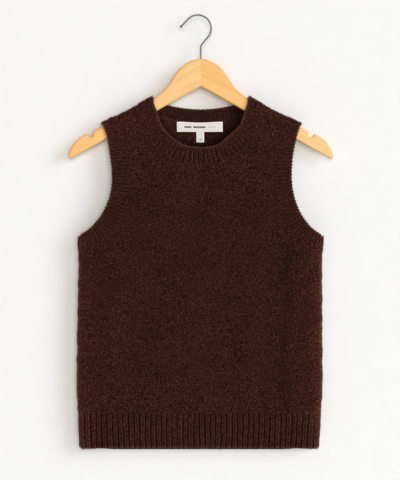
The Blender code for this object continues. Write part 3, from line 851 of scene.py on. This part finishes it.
def hanger_blank():
    """The whole hanger as one mesh, before it is parted in the middle."""
    right = arm_outline()
    outline = np.vstack([right, right[-2:0:-1] * (-1, 1)])
    blank, spline = poly_curve(
        "hanger_blank", [(MIDDLE_X + u, z, 0) for u, z in outline], WOOD_ROUND, WOOD_ROUND_STEPS,
        dimensions="2D", fill_mode="BOTH", extrude=WOOD_THICK / 2 - WOOD_ROUND, offset=-WOOD_ROUND,
    )
    spline.use_cyclic_u = True
    blank.rotation_euler.x = math.pi / 2
    bpy.context.view_layer.update()
    built = blank.evaluated_get(bpy.context.evaluated_depsgraph_get())
    data = bpy.data.meshes.new_from_object(built)
    data.transform(blank.matrix_world)
    bpy.data.objects.remove(blank)
    return data


def hanger_side(name, blank, mirror, cutter, material):
    """One half of the blank, cut half a hair's breadth from the middle, capped and bored."""
    mesh = bmesh.new()
    mesh.from_mesh(blank)
    bmesh.ops.remove_doubles(mesh, verts=mesh.verts, dist=WELD)
    cut = bmesh.ops.bisect_plane(
        mesh,
        geom=mesh.verts[:] + mesh.edges[:] + mesh.faces[:],
        plane_co=(MIDDLE_X + mirror * WOOD_GAP / 2, 0, 0),
        plane_no=(-mirror, 0, 0),
        clear_outer=True,
    )
    rim = [item for item in cut["geom_cut"] if isinstance(item, bmesh.types.BMEdge)]
    bmesh.ops.edgeloop_fill(mesh, edges=rim)
    bmesh.ops.recalc_face_normals(mesh, faces=mesh.faces)
    data = bpy.data.meshes.new(name)
    mesh.to_mesh(data)
    mesh.free()
    data.materials.append(material)
    data.shade_smooth()
    data.set_sharp_from_angle(angle=WOOD_SMOOTH)
    made = link(name, data)
    bore = made.modifiers.new("Stem bore", "BOOLEAN")
    bore.object = cutter
    with bpy.context.temp_override(object=made):
        bpy.ops.object.modifier_apply(modifier=bore.name)
    return made


def bore_cutter():
    """The hole in the hanger's top that the hook's stem goes into."""
    bpy.ops.mesh.primitive_cylinder_add(
        vertices=BORE_SIDES, radius=WIRE_RADIUS + GAP, depth=BORE_DEPTH * 2,
        location=(MIDDLE_X, 0, HANGER_TOP),
    )
    return bpy.context.object


def hook_path():
    """Middle line of the wire, from the end of the stem to the tip, as (x, z)."""
    centre = np.array([0, WIRE_RADIUS - HOOK_RADIUS])
    turned = math.pi / 2 - RISE_ANGLE
    meet = centre + HOOK_RADIUS * heading(-turned)
    bend_x = MIDDLE_X + LOWER_BEND_RADIUS * (1 - math.cos(turned))
    bend_end_z = meet[1] - (meet[0] - bend_x) * math.tan(RISE_ANGLE)
    bend_centre = MIDDLE_X + LOWER_BEND_RADIUS, bend_end_z - LOWER_BEND_RADIUS * math.sin(turned)
    bend = arc(bend_centre, LOWER_BEND_RADIUS, math.pi, math.pi - turned, LOWER_BEND_STEPS)
    loop = arc(centre, HOOK_RADIUS, -turned, LEAVE_ANGLE, HOOK_STEPS)
    reach = HOOK_END - TIP_LENGTH + np.linspace(0, TIP_LENGTH, len(TIP_FLARE))
    end = loop[-1] + reach[:, None] * heading(LEAVE_ANGLE + math.pi / 2)
    return np.vstack([(MIDDLE_X, HANGER_TOP - STEM_IN_WOOD), bend, loop, end])


def hook(material):
    points = [(x, 0, z) for x, z in hook_path()]
    made, spline = poly_curve(
        "hook_wire", points, WIRE_RADIUS, WIRE_ROUND_STEPS, dimensions="3D", use_fill_caps=True
    )
    for point, flare in zip(spline.points[-len(TIP_FLARE):], TIP_FLARE):
        point.radius = flare
    spline.use_smooth = True
    made.data.materials.append(material)
    return made


# ---------------- materials


class Graph:
    """A material's nodes. An input is a number, a tuple or another node's output."""

    def __init__(self, name):
        self.material = bpy.data.materials.new(name)
        self.material.use_nodes = True
        self.tree = self.material.node_tree
        self.shader = self.tree.nodes["Principled BSDF"]

    def set(self, node, inputs):
        for key, value in inputs.items():
            if isinstance(value, bpy.types.NodeSocket):
                self.tree.links.new(value, node.inputs[key])
            else:
                node.inputs[key].default_value = value

    def add(self, kind, inputs=None, **settings):
        node = self.tree.nodes.new("ShaderNode" + kind)
        for key, value in settings.items():
            setattr(node, key, value)
        self.set(node, inputs or {})
        return node

    def pattern(self):
        return self.add("UVMap", uv_map=PATTERN_MAP).outputs["UV"]

    def solid(self):
        return self.add("TexCoord").outputs["Object"]

    def stored(self, attribute):
        return self.add("Attribute", attribute_name=attribute).outputs["Fac"]

    def parts(self, vector):
        return self.add("SeparateXYZ", {"Vector": vector}).outputs

    def math(self, operation, *values):
        return self.add("Math", dict(enumerate(values)), operation=operation).outputs[0]

    def vector(self, operation, place, other):
        key = "Scale" if operation == "SCALE" else 1
        return self.add("VectorMath", {0: place, key: other}, operation=operation).outputs[0]

    def turn(self, place, angle, axis):
        inputs = {"Vector": place, "Angle": angle}
        return self.add("VectorRotate", inputs, rotation_type=axis + "_AXIS").outputs[0]

    def noise(self, place, scale, detail=2.0, roughness=0.5, output="Fac"):
        """Noise at this scale. Three scales are one for each axis."""
        if isinstance(scale, tuple):
            place, scale = self.vector("MULTIPLY", place, scale), 1.0
        inputs = {"Vector": place, "Scale": scale, "Detail": detail, "Roughness": roughness}
        return self.add("TexNoise", inputs).outputs[output]

    def total(self, *terms):
        """The sum of values times their weights."""
        total = 0.0
        for value, weight in terms:
            total = self.math("MULTIPLY_ADD", value, weight, total)
        return total

    def bell(self, value, centre, width):
        """1 at the centre, falling away over the width."""
        away = self.math("DIVIDE", self.math("SUBTRACT", value, centre), width)
        return self.math("EXPONENT", self.math("MULTIPLY", self.math("MULTIPLY", away, away), -1.0))

    def between(self, value, low, high):
        above, below = self.math("GREATER_THAN", value, low), self.math("LESS_THAN", value, high)
        return self.math("MULTIPLY", above, below)

    def tint(self, under, share, colour, blend="MIX", clamp=True):
        if isinstance(colour, tuple):
            colour = (*colour, 1)
        inputs = {0: share, 6: under, 7: colour}
        settings = {"data_type": "RGBA", "blend_type": blend, "clamp_factor": clamp}
        return self.add("Mix", inputs, **settings).outputs[2]

    def ramp(self, factor, places, colours):
        node = self.add("ValToRGB", {"Fac": factor})
        node.color_ramp.elements[1].position = places[-1]
        for place in places[1:-1]:
            node.color_ramp.elements.new(place)
        for element, place, colour in zip(node.color_ramp.elements, places, colours):
            element.position = place
            element.color = (*colour, 1)
        return node.outputs["Color"]

    def bump(self, height, distance, strength=1.0):
        inputs = {"Height": height, "Distance": distance, "Strength": strength}
        return self.add("Bump", inputs).outputs["Normal"]


# A wool look: furrow is painted shade, the share of the colour left in a furrow, and crest the share on
# a crest, both by the stored relief
Wool = namedtuple("Wool", "furrow crest stitches sheen wander tufts turns")
KNIT_LOOK = Wool(0.30, 1.0, 0.30, 0.78, 0.011, (0.0019, 0.0040), (0.52, -0.40))
RIB_LOOK = Wool(0.05, 0.87, 0.15, 0.66, 0.005, (0.0014, 0.0052), (0.15, -0.12))
WALE, COURSE, LEG_LEAN = 0.0046, 0.0034, 1.4
DRIFT_SIZE, HAIR_SIZE, LOOP_SIZE, BROAD_SIZE = 0.024, 0.0018, 0.0031, 0.034
PATCH_SIZE, PATCH_FROM, PATCH_TO = 0.016, 0.42, 0.58
LOOP_SHARPNESS = 8.0
HAIR_HEIGHT, WOOL_BUMP = 0.6, 0.0010
HAIR_TONE, TUFT_TONE, BROAD_TONE, LOOP_TONE, STITCH_TONE = 0.54, 0.46, 0.06, 0.040, 0.025
HEATHER_AT, RELIEF_AT = (0.440, 0.570, 0.720), (0.17, 0.67)
# Painted highlights along the two wales of each rib
WALE_CRESTS, WALE_CREST_WIDTH = (0.28, 0.72), 0.09
WALE_HIGHLIGHT, WALE_HIGHLIGHT_FURROW = 0.02, 0.25
WOOL_DARK = (0.0036, 0.0010, 0.0007)
WOOL_MID = (0.0280, 0.0082, 0.0053)
WOOL_LIGHT = (0.1060, 0.0360, 0.0237)
WOOL_SHEEN = (0.74, 0.355, 0.240, 1)
FIBRE_AT = 0.00, 0.55, 0.88, 1.00
FIBRE_COLOURS = (
    (0.0085, 0.0025, 0.0016), (0.0300, 0.0094, 0.0062),
    (0.0780, 0.0265, 0.0178), (0.1600, 0.0640, 0.0450),
)
# Painted highlight along the rolled free edge of a rib band
EDGE_HIGHLIGHT, EDGE_HIGHLIGHT_AT, EDGE_HIGHLIGHT_WIDTH = 0.075, 0.0014, 0.0022


def brushed_wool(name, look, ribbed=False):
    """Heathered wool: wandering tufts, faint stitches and fine hairs, with painted shade in the furrows,
    painted highlights on the ribs, and each point's stored painted shade and light.
    """
    g = Graph(name)
    place, solid = g.pattern(), g.solid()
    drift = g.noise(place, 1 / DRIFT_SIZE, 1.0, output="Color")
    drift = g.vector("SCALE", g.vector("SUBTRACT", drift, (0.5, 0.5, 0.5)), look.wander)
    drifted = g.vector("ADD", place, drift)
    scales = (1 / look.tufts[0], 1 / look.tufts[1], 1.0)
    leaning = [g.noise(g.turn(drifted, turn, "Z"), scales, 1.5, 0.55) for turn in look.turns]
    patch = g.noise(solid, 1 / PATCH_SIZE, 1.0)
    limits = {"Value": patch, "From Min": PATCH_FROM, "From Max": PATCH_TO}
    patch = g.add("MapRange", limits).outputs[0]
    tufts = g.add("Mix", {0: patch, 2: leaning[0], 3: leaning[1]}).outputs[0]
    hairs = g.noise(solid, 1 / HAIR_SIZE, 1.5, 0.6)
    loops = g.math("ABSOLUTE", g.math("SUBTRACT", g.noise(drifted, 1 / LOOP_SIZE, 0.5), 0.5))
    loops = g.math("MINIMUM", g.math("MULTIPLY", loops, LOOP_SHARPNESS), 1.0)
    loops = g.math("SUBTRACT", 1.0, loops)
    broad = g.noise(solid, 1 / BROAD_SIZE)

    across, up = g.parts(drifted)[:2]
    wale = g.math("PINGPONG", g.math("DIVIDE", across, WALE), 0.5)
    row = g.math("FRACT", g.total((up, 1 / COURSE), (wale, LEG_LEAN)))
    waves = (g.math("SINE", g.math("MULTIPLY", *pair)) for pair in ((row, math.pi), (wale, 2 * math.pi)))
    stitches = g.math("MULTIPLY", *waves)

    height = g.total((tufts, 1.0), (stitches, look.stitches), (hairs, HAIR_HEIGHT))
    relief = g.stored("height")
    shade = g.total(
        (tufts, TUFT_TONE), (hairs, HAIR_TONE), (broad, BROAD_TONE), (loops, LOOP_TONE),
        (stitches, STITCH_TONE),
    )
    if ribbed:
        # Painted highlights: lines along the two wales of each rib
        across, from_edge = g.parts(place)[:2]
        rib = g.math("FRACT", g.math("DIVIDE", across, HEM_PITCH))
        wales = g.math("ADD", *(g.bell(rib, crest, WALE_CREST_WIDTH) for crest in WALE_CRESTS))
        lit = g.total((relief, -WALE_HIGHLIGHT_FURROW), (1.0, WALE_HIGHLIGHT + WALE_HIGHLIGHT_FURROW))
        # Painted highlight along the rolled free edge
        edge = g.bell(from_edge, EDGE_HIGHLIGHT_AT, EDGE_HIGHLIGHT_WIDTH)
        shade = g.total((shade, 1.0), (edge, EDGE_HIGHLIGHT), (wales, lit))
    heather = g.ramp(shade, HEATHER_AT, (WOOL_DARK, WOOL_MID, WOOL_LIGHT))
    # Painted shade in the furrows, by the stored relief
    depth = g.ramp(relief, RELIEF_AT, ((look.furrow,) * 3, (look.crest,) * 3))
    colour = g.tint(heather, 1.0, depth, "MULTIPLY")
    # dark darkens the colour as painted shade, and below 0 lightens it as painted light and sheen
    g.set(g.shader, {
        "Base Color": g.tint(colour, g.stored("dark"), (0.0, 0.0, 0.0), clamp=False),
        "Normal": g.bump(height, WOOL_BUMP),
        "Roughness": 0.95,
        "Specular IOR Level": 0.03,
        "Sheen Weight": look.sheen,
        "Sheen Roughness": 0.42,
        "Sheen Tint": WOOL_SHEEN,
    })
    return g.material


def wool_fibre():
    """Loose hairs, from dark to a lighter red brown."""
    g = Graph("brushed_wool_fibre")
    g.set(g.shader, {
        "Base Color": g.ramp(g.stored("tone"), FIBRE_AT, FIBRE_COLOURS),
        "Roughness": 0.8,
        "Specular IOR Level": 0.05,
        "Sheen Weight": 0.06,
        "Sheen Tint": WOOL_SHEEN,
    })
    return g.material


LABEL_EDGE = 0.0026
LABEL_LINE = 0.0007
LABEL_WEAVE = (1 / 0.00045, 1 / 0.0016, 1.0)
LABEL_THREADS, LABEL_BUMP = 1 / 0.0006 / 3.3, 0.00012
LABEL_CREAMS = (0.93, 0.90, 0.85), (0.97, 0.945, 0.905)
FIELD_SHARE, FIELD_TINT = 0.60, (0.78, 0.69, 0.645)
LINE_SHARE, LINE_TINT = 0.55, (0.42, 0.31, 0.26)
INK_SHARE, INK, GREY = 0.92, (0.050, 0.018, 0.012), (0.45, 0.38, 0.35)
# Woven bars, as (from, to, top, bottom, colour) from the label's upper left corner
LABEL_BARS = (
    (0.0125, 0.0245, 0.0070, 0.0100, INK),
    (0.0275, 0.0485, 0.0070, 0.0100, INK),
    (0.0525, 0.0665, 0.0080, 0.0090, GREY),
)
TAB_BARS = ((0.0045, 0.0095, 0.0124, 0.0134, INK),)
TAB_INSET = 0.0022


def woven_label(name, size, bars, tab_gap):
    """Cream satin ribbon with a fine weave, a border line and plain woven bars.

    The line is open where the tab hangs, at tab_gap.
    """
    g = Graph(name)
    place = g.pattern()
    parts = g.parts(place)
    sides = (g.math("MINIMUM", parts[k], g.math("SUBTRACT", size[k], parts[k])) for k in (0, 1))
    from_edge = g.math("MINIMUM", *sides)
    line = g.between(from_edge, LABEL_EDGE - LABEL_LINE / 2, LABEL_EDGE + LABEL_LINE / 2)
    inside = g.math("GREATER_THAN", from_edge, LABEL_EDGE)
    if tab_gap:
        low_half = g.math("GREATER_THAN", parts[1], size[1] / 2)
        opening = g.math("MULTIPLY", g.between(parts[0], *tab_gap), low_half)
        line = g.math("MULTIPLY", line, g.math("SUBTRACT", 1.0, opening))
        inside = g.math("MAXIMUM", inside, opening)
    weave = g.noise(place, LABEL_WEAVE)
    threads = g.add("TexWave", {"Vector": place, "Scale": LABEL_THREADS, "Distortion": 0.6})
    colour = g.ramp(weave, (0.3, 0.7), LABEL_CREAMS)
    colour = g.tint(colour, g.math("MULTIPLY", inside, FIELD_SHARE), FIELD_TINT)
    colour = g.tint(colour, g.math("MULTIPLY", line, LINE_SHARE), LINE_TINT)
    for start, end, top, bottom, ink in bars:
        bar = g.math("MULTIPLY", g.between(parts[0], start, end), g.between(parts[1], top, bottom))
        colour = g.tint(colour, g.math("MULTIPLY", bar, INK_SHARE), ink)
    g.set(g.shader, {
        "Base Color": colour,
        "Normal": g.bump(g.math("ADD", threads.outputs["Fac"], weave), LABEL_BUMP),
        "Roughness": 0.62,
        "Sheen Weight": 0.12,
    })
    return g.material


WOOD_EDGE_TINT = (1.04, 0.98, 0.83)
# Painted shadow of the cloth's edge on the wood: warm and darker along a line
CLOTH_SHADOW_TINT, CLOTH_SHADOW_WIDTH = (0.87, 0.67, 0.46), 0.0034
TIP_TINT_FROM, TIP_TINT_TO = 0.100, 0.200
GRAIN, PORES, BROAD_GRAIN = (12, 260, 260), (60, 1500, 1500), (4, 30, 30)
GRAIN_TONE, PORE_TONE, BROAD_GRAIN_TONE = 0.72, 0.28, 0.20
WOOD_AT = 0.38, 0.60, 0.82
WOOD_ROUGH, WOOD_ROUGH_PORES = 0.44, 0.15
PALE_WOOD = (0.800, 0.452, 0.168), (0.882, 0.530, 0.218), (0.940, 0.597, 0.270)
WARM_WOOD = (0.780, 0.414, 0.129), (0.865, 0.488, 0.171), (0.930, 0.556, 0.216)


def blond_wood(name, tilt, colours, seed, tip_tint, cloth_shadow_line):
    """Lacquered light wood with its grain along one arm of the hanger.

    It changes a little towards the tip, and is warmer on its rounded edges. It has a painted
    shadow of the cloth's edge, warm and darker, along a line given as a point (x, z) and the
    slope of x over z.
    """
    g = Graph(name)
    solid = g.solid()
    shifted = g.vector("ADD", g.turn(solid, tilt, "Y"), (seed, seed, seed))
    pores = g.noise(shifted, PORES)
    grain = g.noise(shifted, GRAIN, 4.0, 0.62)
    broad = g.noise(shifted, BROAD_GRAIN, 1.0)
    shade = g.total((grain, GRAIN_TONE), (pores, PORE_TONE), (broad, BROAD_GRAIN_TONE))
    parts = g.parts(solid)
    from_middle = g.math("ABSOLUTE", g.math("SUBTRACT", parts[0], MIDDLE_X))
    limits = {"Value": from_middle, "From Min": TIP_TINT_FROM, "From Max": TIP_TINT_TO}
    facing = g.parts(g.add("NewGeometry").outputs["True Normal"])[1]
    rounded = g.math("SUBTRACT", 1.0, g.math("ABSOLUTE", facing))
    # The line of the cloth edge's painted shadow
    x, z, slope = cloth_shadow_line
    line = g.math("MULTIPLY_ADD", g.math("SUBTRACT", parts[2], z), slope, x)
    colour = g.ramp(shade, WOOD_AT, colours)
    for share, tint in (
        (g.add("MapRange", limits).outputs[0], tip_tint),
        (rounded, WOOD_EDGE_TINT),
        (g.bell(parts[0], line, CLOTH_SHADOW_WIDTH), CLOTH_SHADOW_TINT),
    ):
        colour = g.tint(colour, share, tint, "MULTIPLY")
    g.set(g.shader, {
        "Base Color": colour,
        "Normal": g.bump(shade, 0.00010, 0.6),
        "Roughness": g.math("MULTIPLY_ADD", pores, WOOD_ROUGH_PORES, WOOD_ROUGH),
        "Specular IOR Level": 0.14,
        "Coat Weight": 0.02,
        "Coat Roughness": 0.25,
    })
    return g.material


def chromed_wire():
    g = Graph("chromed_wire")
    wear = g.noise(g.solid(), 300.0, 3.0)
    g.set(g.shader, {
        "Base Color": g.ramp(wear, (0.35, 0.7), ((0.125, 0.108, 0.100), (0.165, 0.148, 0.140))),
        "Metallic": 1.0,
        "Roughness": g.math("MULTIPLY_ADD", wear, 0.10, 0.24),
        "Normal": g.bump(wear, 0.00001, 0.3),
    })
    return g.material


# ---------------- stage, light and camera

WALL_Y = 0.023
FLOOR_Z = -2.00
FLOOR_SIZE, WALL_SIZE = 14, 8
FLOOR_COLOUR, WALL_COLOUR = (0.80, 0.80, 0.79), (0.885, 0.882, 0.868)
SCALE = 0.0016858
FRAME_TALL = 480 * SCALE
VIEW_CENTRE = (0.0038, -0.3780)
VIEW_DISTANCE = 2.4
SENSOR = 36.0
LIT_FROM = (0, 0, -0.40)
WORLD_LIGHT, WORLD_STRENGTH = (0.985, 0.930, 0.880, 1), 0.15


def plain_paint(name, colour):
    g = Graph(name)
    mottle = g.noise(g.solid(), 40.0, 3.0)
    low = tuple(value * 0.985 for value in colour)
    g.set(g.shader, {
        "Base Color": g.ramp(mottle, (0.3, 0.7), (low, colour)),
        "Roughness": 0.9,
        "Specular IOR Level": 0.1,
    })
    return g


def plain_square(name, size, place, lean, paint):
    bpy.ops.mesh.primitive_grid_add(
        x_subdivisions=2, y_subdivisions=2, size=size, location=place, rotation=(lean, 0, 0)
    )
    made = bpy.context.object
    made.name = name
    made.data.materials.append(paint.material)
    return made


def stage():
    """A pale floor, and a pale wall behind the vest.

    The wall is see-through from behind, and direct light passes through it.
    """
    floor_paint = plain_paint("pale_floor", FLOOR_COLOUR)
    floor = plain_square("floor", FLOOR_SIZE, (0, 0, FLOOR_Z), 0, floor_paint)

    g = plain_paint("pale_wall", WALL_COLOUR)
    behind = g.add("NewGeometry").outputs["Backfacing"]
    path = g.add("LightPath").outputs
    unreflected = g.math("LESS_THAN", path["Diffuse Depth"], 0.5)
    clear = g.math("MAXIMUM", behind, g.math("MULTIPLY", path["Is Shadow Ray"], unreflected))
    shaders = {0: clear, 1: g.shader.outputs[0], 2: g.add("BsdfTransparent").outputs[0]}
    mixed = g.add("MixShader", shaders)
    g.set(g.tree.nodes["Material Output"], {"Surface": mixed.outputs[0]})
    wall_place = (0, WALL_Y, FLOOR_Z + WALL_SIZE / 2)
    plain_square("backdrop", WALL_SIZE, wall_place, math.pi / 2, g)


def area_light(name, place, size, watts, colour):
    data = bpy.data.lights.new(name, "AREA")
    data.shape = "DISK"
    data.size, data.energy, data.color = size, watts, colour
    lamp = link(name, data)
    lamp.location = place
    lamp.rotation_euler = (Vector(LIT_FROM) - Vector(place)).to_track_quat("-Z", "Y").to_euler()
    lamp.visible_camera = False
    return lamp


def lights():
    area_light("key", (15.4, -12.8, 4.4), 12.8, 1900, (0.922, 1.063, 1.200))
    area_light("front", (0.8, -10.0, 0.6), 5.2, 550, (1.045, 0.980, 0.925))
    rear = area_light("rear", (0.6, 3.6, 0.8), 2.0, 200, (1.0, 0.998, 0.998))
    rear.visible_glossy = False
    world = bpy.data.worlds.new("studio")
    world.use_nodes = True
    nodes, links = world.node_tree.nodes, world.node_tree.links
    lit, seen = nodes["Background"], nodes.new("ShaderNodeBackground")
    lit.inputs["Color"].default_value = WORLD_LIGHT
    lit.inputs["Strength"].default_value = WORLD_STRENGTH
    seen.inputs["Color"].default_value = (*FLOOR_COLOUR, 1)
    path, mixed = nodes.new("ShaderNodeLightPath"), nodes.new("ShaderNodeMixShader")
    for k, output in enumerate((path.outputs["Is Camera Ray"], lit.outputs[0], seen.outputs[0])):
        links.new(output, mixed.inputs[k])
    links.new(mixed.outputs[0], nodes["World Output"].inputs["Surface"])
    bpy.context.scene.world = world


def camera():
    data = bpy.data.cameras.new("camera")
    data.sensor_width = SENSOR
    data.lens = SENSOR * VIEW_DISTANCE / FRAME_TALL
    made = link("camera", data)
    made.location = (VIEW_CENTRE[0], -VIEW_DISTANCE, VIEW_CENTRE[1])
    made.rotation_euler = (math.pi / 2, 0, 0)
    bpy.context.scene.camera = made


# ---------------- the vest, put together

PANEL_NAP = Nap(count=40000, length=0.0042, width=0.00026, lift=0.20, spread=0.80, axis=0)
BACK_NAP = PANEL_NAP._replace(count=23000)
HEM_NAP = Nap(count=8000, length=0.0034, width=0.00024, lift=0.18, spread=0.50, axis=0)
BAND_NAP = HEM_NAP._replace(axis=1)
INSIDE_NAP = 0.35
FOLD_NAP, FOLD_NAP_REACH = 2.5, 0.009
# Painted shade inside the back and the neckband, close behind the front's neck edge, stronger and wider
# to the right and in the upper right corner
NECK_SHADE, NECK_SHADE_REACH = (0.80, 0.90), (0.0065, 0.0195)
NECK_SHADE_U, NECK_SHADE_TURN = -0.03, 0.08
NECK_CORNER_REACH, NECK_CORNER_P, NECK_CORNER_TURN = 0.0110, -0.185, 0.030
NECK_LINE_STEPS = 120
# Painted shade on the inside of the back neckband
BACK_BAND_SHADE = 0.36
NECK_ROLL, NECK_ROLL_REACH = 0.45, 0.0070
NECK_RIBS, NECK_RIBS_P, NECK_RIBS_FADE, BACK_NECK_RIBS = (0.32, 0.98), -0.180, 0.030, 0.85
ARM_RIBS, ARM_RIBS_P, ARM_RIBS_FADE = (0.66, 0.94), -0.200, 0.040
# Painted light on the shoulders and along the ridge, and painted sheen and light along the side folds
SHOULDER_PAINTED_LIGHT, SHOULDER_PAINTED_LIGHT_REACH = 0.26, 0.070
RIDGE_PAINTED_LIGHT, RIDGE_PAINTED_LIGHT_REACH = 0.25, 0.0045
FOLD_PAINTED_SHEEN = 1.20, 0.56
FOLD_PAINTED_SHEEN_REACH = 0.0050, 0.0200
# Painted shade in the creases, by how deep they press in
CREASE_SHADE = 90.0
# Painted shade on the inside of the hem ribs
HEM_INSIDE_SHADE = 0.75
NECK_INSIDE_U, NECK_INSIDE_P = 0.075, -0.240


def nap_faces(cloth, inside):
    """The faces that the fibres of a cloth grow on, fewer in its furrows."""
    at_fold = 1 + FOLD_NAP * near(fold_distance(*pattern(cloth.grid)), FOLD_NAP_REACH)
    crests = [height**2 * at_fold for height in cloth.heights]
    both = [(cloth.walls[1], cloth.grid.normal, crests[1])]
    if inside is not None:
        both.append((cloth.walls[0], -cloth.grid.normal, crests[0] * inside))
    return both


def neck_shade(cloth):
    """Painted shade on the inside of the back, close behind the front's free edge: how dark each point
    is.
    """
    line = smooth_path([ridge_edge(NECK_END), *FRONT_NECK], np.linspace(0, 1, NECK_LINE_STEPS))
    line = np.concatenate([line, line * (-1, 1)])
    flat = cloth.grid.flat.reshape(-1, 2)
    away = np.hypot(*(flat[:, None, k] - line[:, k] for k in (0, 1))).min(axis=1)
    to_right = (flat[:, 0] - NECK_SHADE_U) / NECK_SHADE_TURN
    strength, reach = (blend(*ends, to_right) for ends in (NECK_SHADE, NECK_SHADE_REACH))
    in_corner = ease(to_right) * ease((flat[:, 1] - NECK_CORNER_P) / NECK_CORNER_TURN)
    reach = reach + NECK_CORNER_REACH * in_corner
    return strength * near(away, reach) * (cloth.grid.base[..., 1].ravel() > 0)


def shade(cloth, inside):
    """Stores each point's painted shade and light: below 0 where the ridge, the shoulders and the side
    folds are painted lighter, as painted light and sheen; above 0 as painted shade in the creases, up to
    1 where the inside is painted in shade.
    """
    u, p = pattern(cloth.grid)
    pale = RIDGE_PAINTED_LIGHT * near(ridge(u) + RIDGE_EXTRA - p, RIDGE_PAINTED_LIGHT_REACH)
    pale = pale + SHOULDER_PAINTED_LIGHT * near(ridge(u) - p, SHOULDER_PAINTED_LIGHT_REACH)
    for share, reach in zip(FOLD_PAINTED_SHEEN, FOLD_PAINTED_SHEEN_REACH):
        pale = pale + share * near(fold_distance(u, p), reach)
    in_front = cloth.grid.base[..., 1] < 0
    pressed = np.where(in_front, crease_depth(u, p, FRONT), crease_depth(u, p, BACK))
    outer = (CREASE_SHADE * pressed - pale).ravel()
    store(cloth.made, "dark", np.concatenate([outer + inside, outer]))


def neck_ribs(grid):
    """Share of the ribs' depth round the neck: full in front, brushed over higher up.

    The free edge rolls, and hides most of the ribs.
    """
    from_edge = np.linalg.norm(grid.flat - grid.flat[:, :1], axis=-1)
    in_front = blend(*NECK_RIBS, (NECK_RIBS_P - grid.flat[..., 1]) / NECK_RIBS_FADE)
    brushed = np.where(grid.base[..., 1] < 0, in_front, BACK_NECK_RIBS)
    return blend(NECK_ROLL, 1, from_edge / NECK_ROLL_REACH) * brushed


def arm_ribs(grid):
    return blend(*ARM_RIBS, (ARM_RIBS_P - grid.flat[..., 1]) / ARM_RIBS_FADE)


def finish(made, node):
    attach(made, "root")
    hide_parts(node)


def finish_cloth(made, node, nap=None):
    """Attaches a cloth piece, and its nap, to the root and hides its CAD node."""
    finish(made, node)
    extras = [nap] if nap else []
    for extra in extras:
        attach(extra, "root")


def brush(cloth, node, nap, seed, fibre, dark=0.0, inside=None):
    """Paints shade and light on a cloth and makes its nap, also on its inside where a share is given."""
    shade(cloth, dark)
    return nap_mesh(node + "_nap", nap_faces(cloth, inside), nap, seed, fibre)


def panels(knit, fibre):
    cloth = panel(FRONT, 21, knit)
    nap = brush(cloth, "front", PANEL_NAP, 31, fibre)
    finish_cloth(cloth.made, "front", nap)
    cloth = panel(BACK, 22, knit)
    u, p = pattern(cloth.grid)
    seen = INSIDE_NAP * ((np.abs(u) < NECK_INSIDE_U) & (p > NECK_INSIDE_P))
    nap = brush(cloth, "back", BACK_NAP, 32, fibre, neck_shade(cloth), seen)
    finish_cloth(cloth.made, "back", nap)


def bands(rib, fibre):
    for side, length in ((FRONT, 0.060), (BACK, 0.064)):
        cloth = hem(side, 40 + side, rib)
        node = f"hem_{SIDE_NAME[side]}"
        nap = brush(cloth, node, HEM_NAP, 42 + side, fibre, HEM_INSIDE_SHADE)
        finish_cloth(cloth.made, node, nap)

    necks = {side: neck_half(side, NECK_PITCH / RIB_STEPS) for side in (FRONT, BACK)}
    ways = (FRONT, 1), (FRONT, -1), (BACK, -1), (BACK, 1)
    halves = [band_half(necks[side], side, mirror) for side, mirror in ways]
    cloth = band("neckband_rib", halves, NECK_PITCH, 50, neck_ribs, rib)
    # Painted shade on the inside of the back neckband, and behind the front's neck edge
    behind = BACK_BAND_SHADE * (cloth.grid.base[..., 1].ravel() > 0)
    dark = np.maximum(neck_shade(cloth), behind)
    nap = brush(cloth, "neckband", BAND_NAP, 51, fibre, dark, INSIDE_NAP)
    finish_cloth(cloth.made, "neckband", nap)

    half = arm_half(ARM_PITCH / RIB_STEPS)
    for node, mirror in (("armband_left", -1), ("armband_right", 1)):
        halves = [band_half(half, side, mirror) for side in (FRONT, BACK)]
        cloth = band(node + "_rib", halves, ARM_PITCH, 60 + mirror, arm_ribs, rib)
        nap = brush(cloth, node, BAND_NAP, 62 + mirror, fibre)
        finish_cloth(cloth.made, node, nap)


def labels():
    gap = TAB_U[0] - LABEL_U[0] + TAB_INSET, TAB_U[1] - LABEL_U[0] - TAB_INSET
    label("label_main", LABEL_U, LABEL_P, LABEL_DIP, "cream_label", LABEL_BARS, gap)
    tab_top = LABEL_P[1] - GAP
    tab_p = tab_top, tab_top - TAB_LENGTH
    label("label_size", TAB_U, tab_p, 0, "cream_tab", TAB_BARS)


def hanger():
    cutter, blank = bore_cutter(), hanger_blank()
    # Each half's node, side, tones, tint at the tip, and the line of the cloth edge's painted shadow on
    # it
    halves = (
        ("hanger_left", -1, PALE_WOOD, (1.03, 0.965, 0.85), (-0.1587, -0.1866, -0.362)),
        ("hanger_right", 1, WARM_WOOD, (1.05, 1.200, 1.52), (0.0852, -0.1413, 0.278)),
    )
    for node, mirror, tones, tip_tint, cloth_shadow_line in halves:
        tilt = -mirror * ARM_ANGLE
        wood = blond_wood(node + "_blond_wood", tilt, tones, 3.0 + mirror, tip_tint, cloth_shadow_line)
        finish(hanger_side(node + "_wood", blank, mirror, cutter, wood), node)
    bpy.data.objects.remove(cutter)
    bpy.data.meshes.remove(blank)
    finish(hook(chromed_wire()), "hook")


def main():
    bpy.context.scene.view_settings.view_transform = "Standard"
    knit = brushed_wool("brushed_wool_knit", KNIT_LOOK)
    rib = brushed_wool("brushed_wool_rib", RIB_LOOK, ribbed=True)
    fibre = wool_fibre()
    panels(knit, fibre)
    bands(rib, fibre)
    labels()
    hanger()
    camera()
    stage()
    lights()


main()
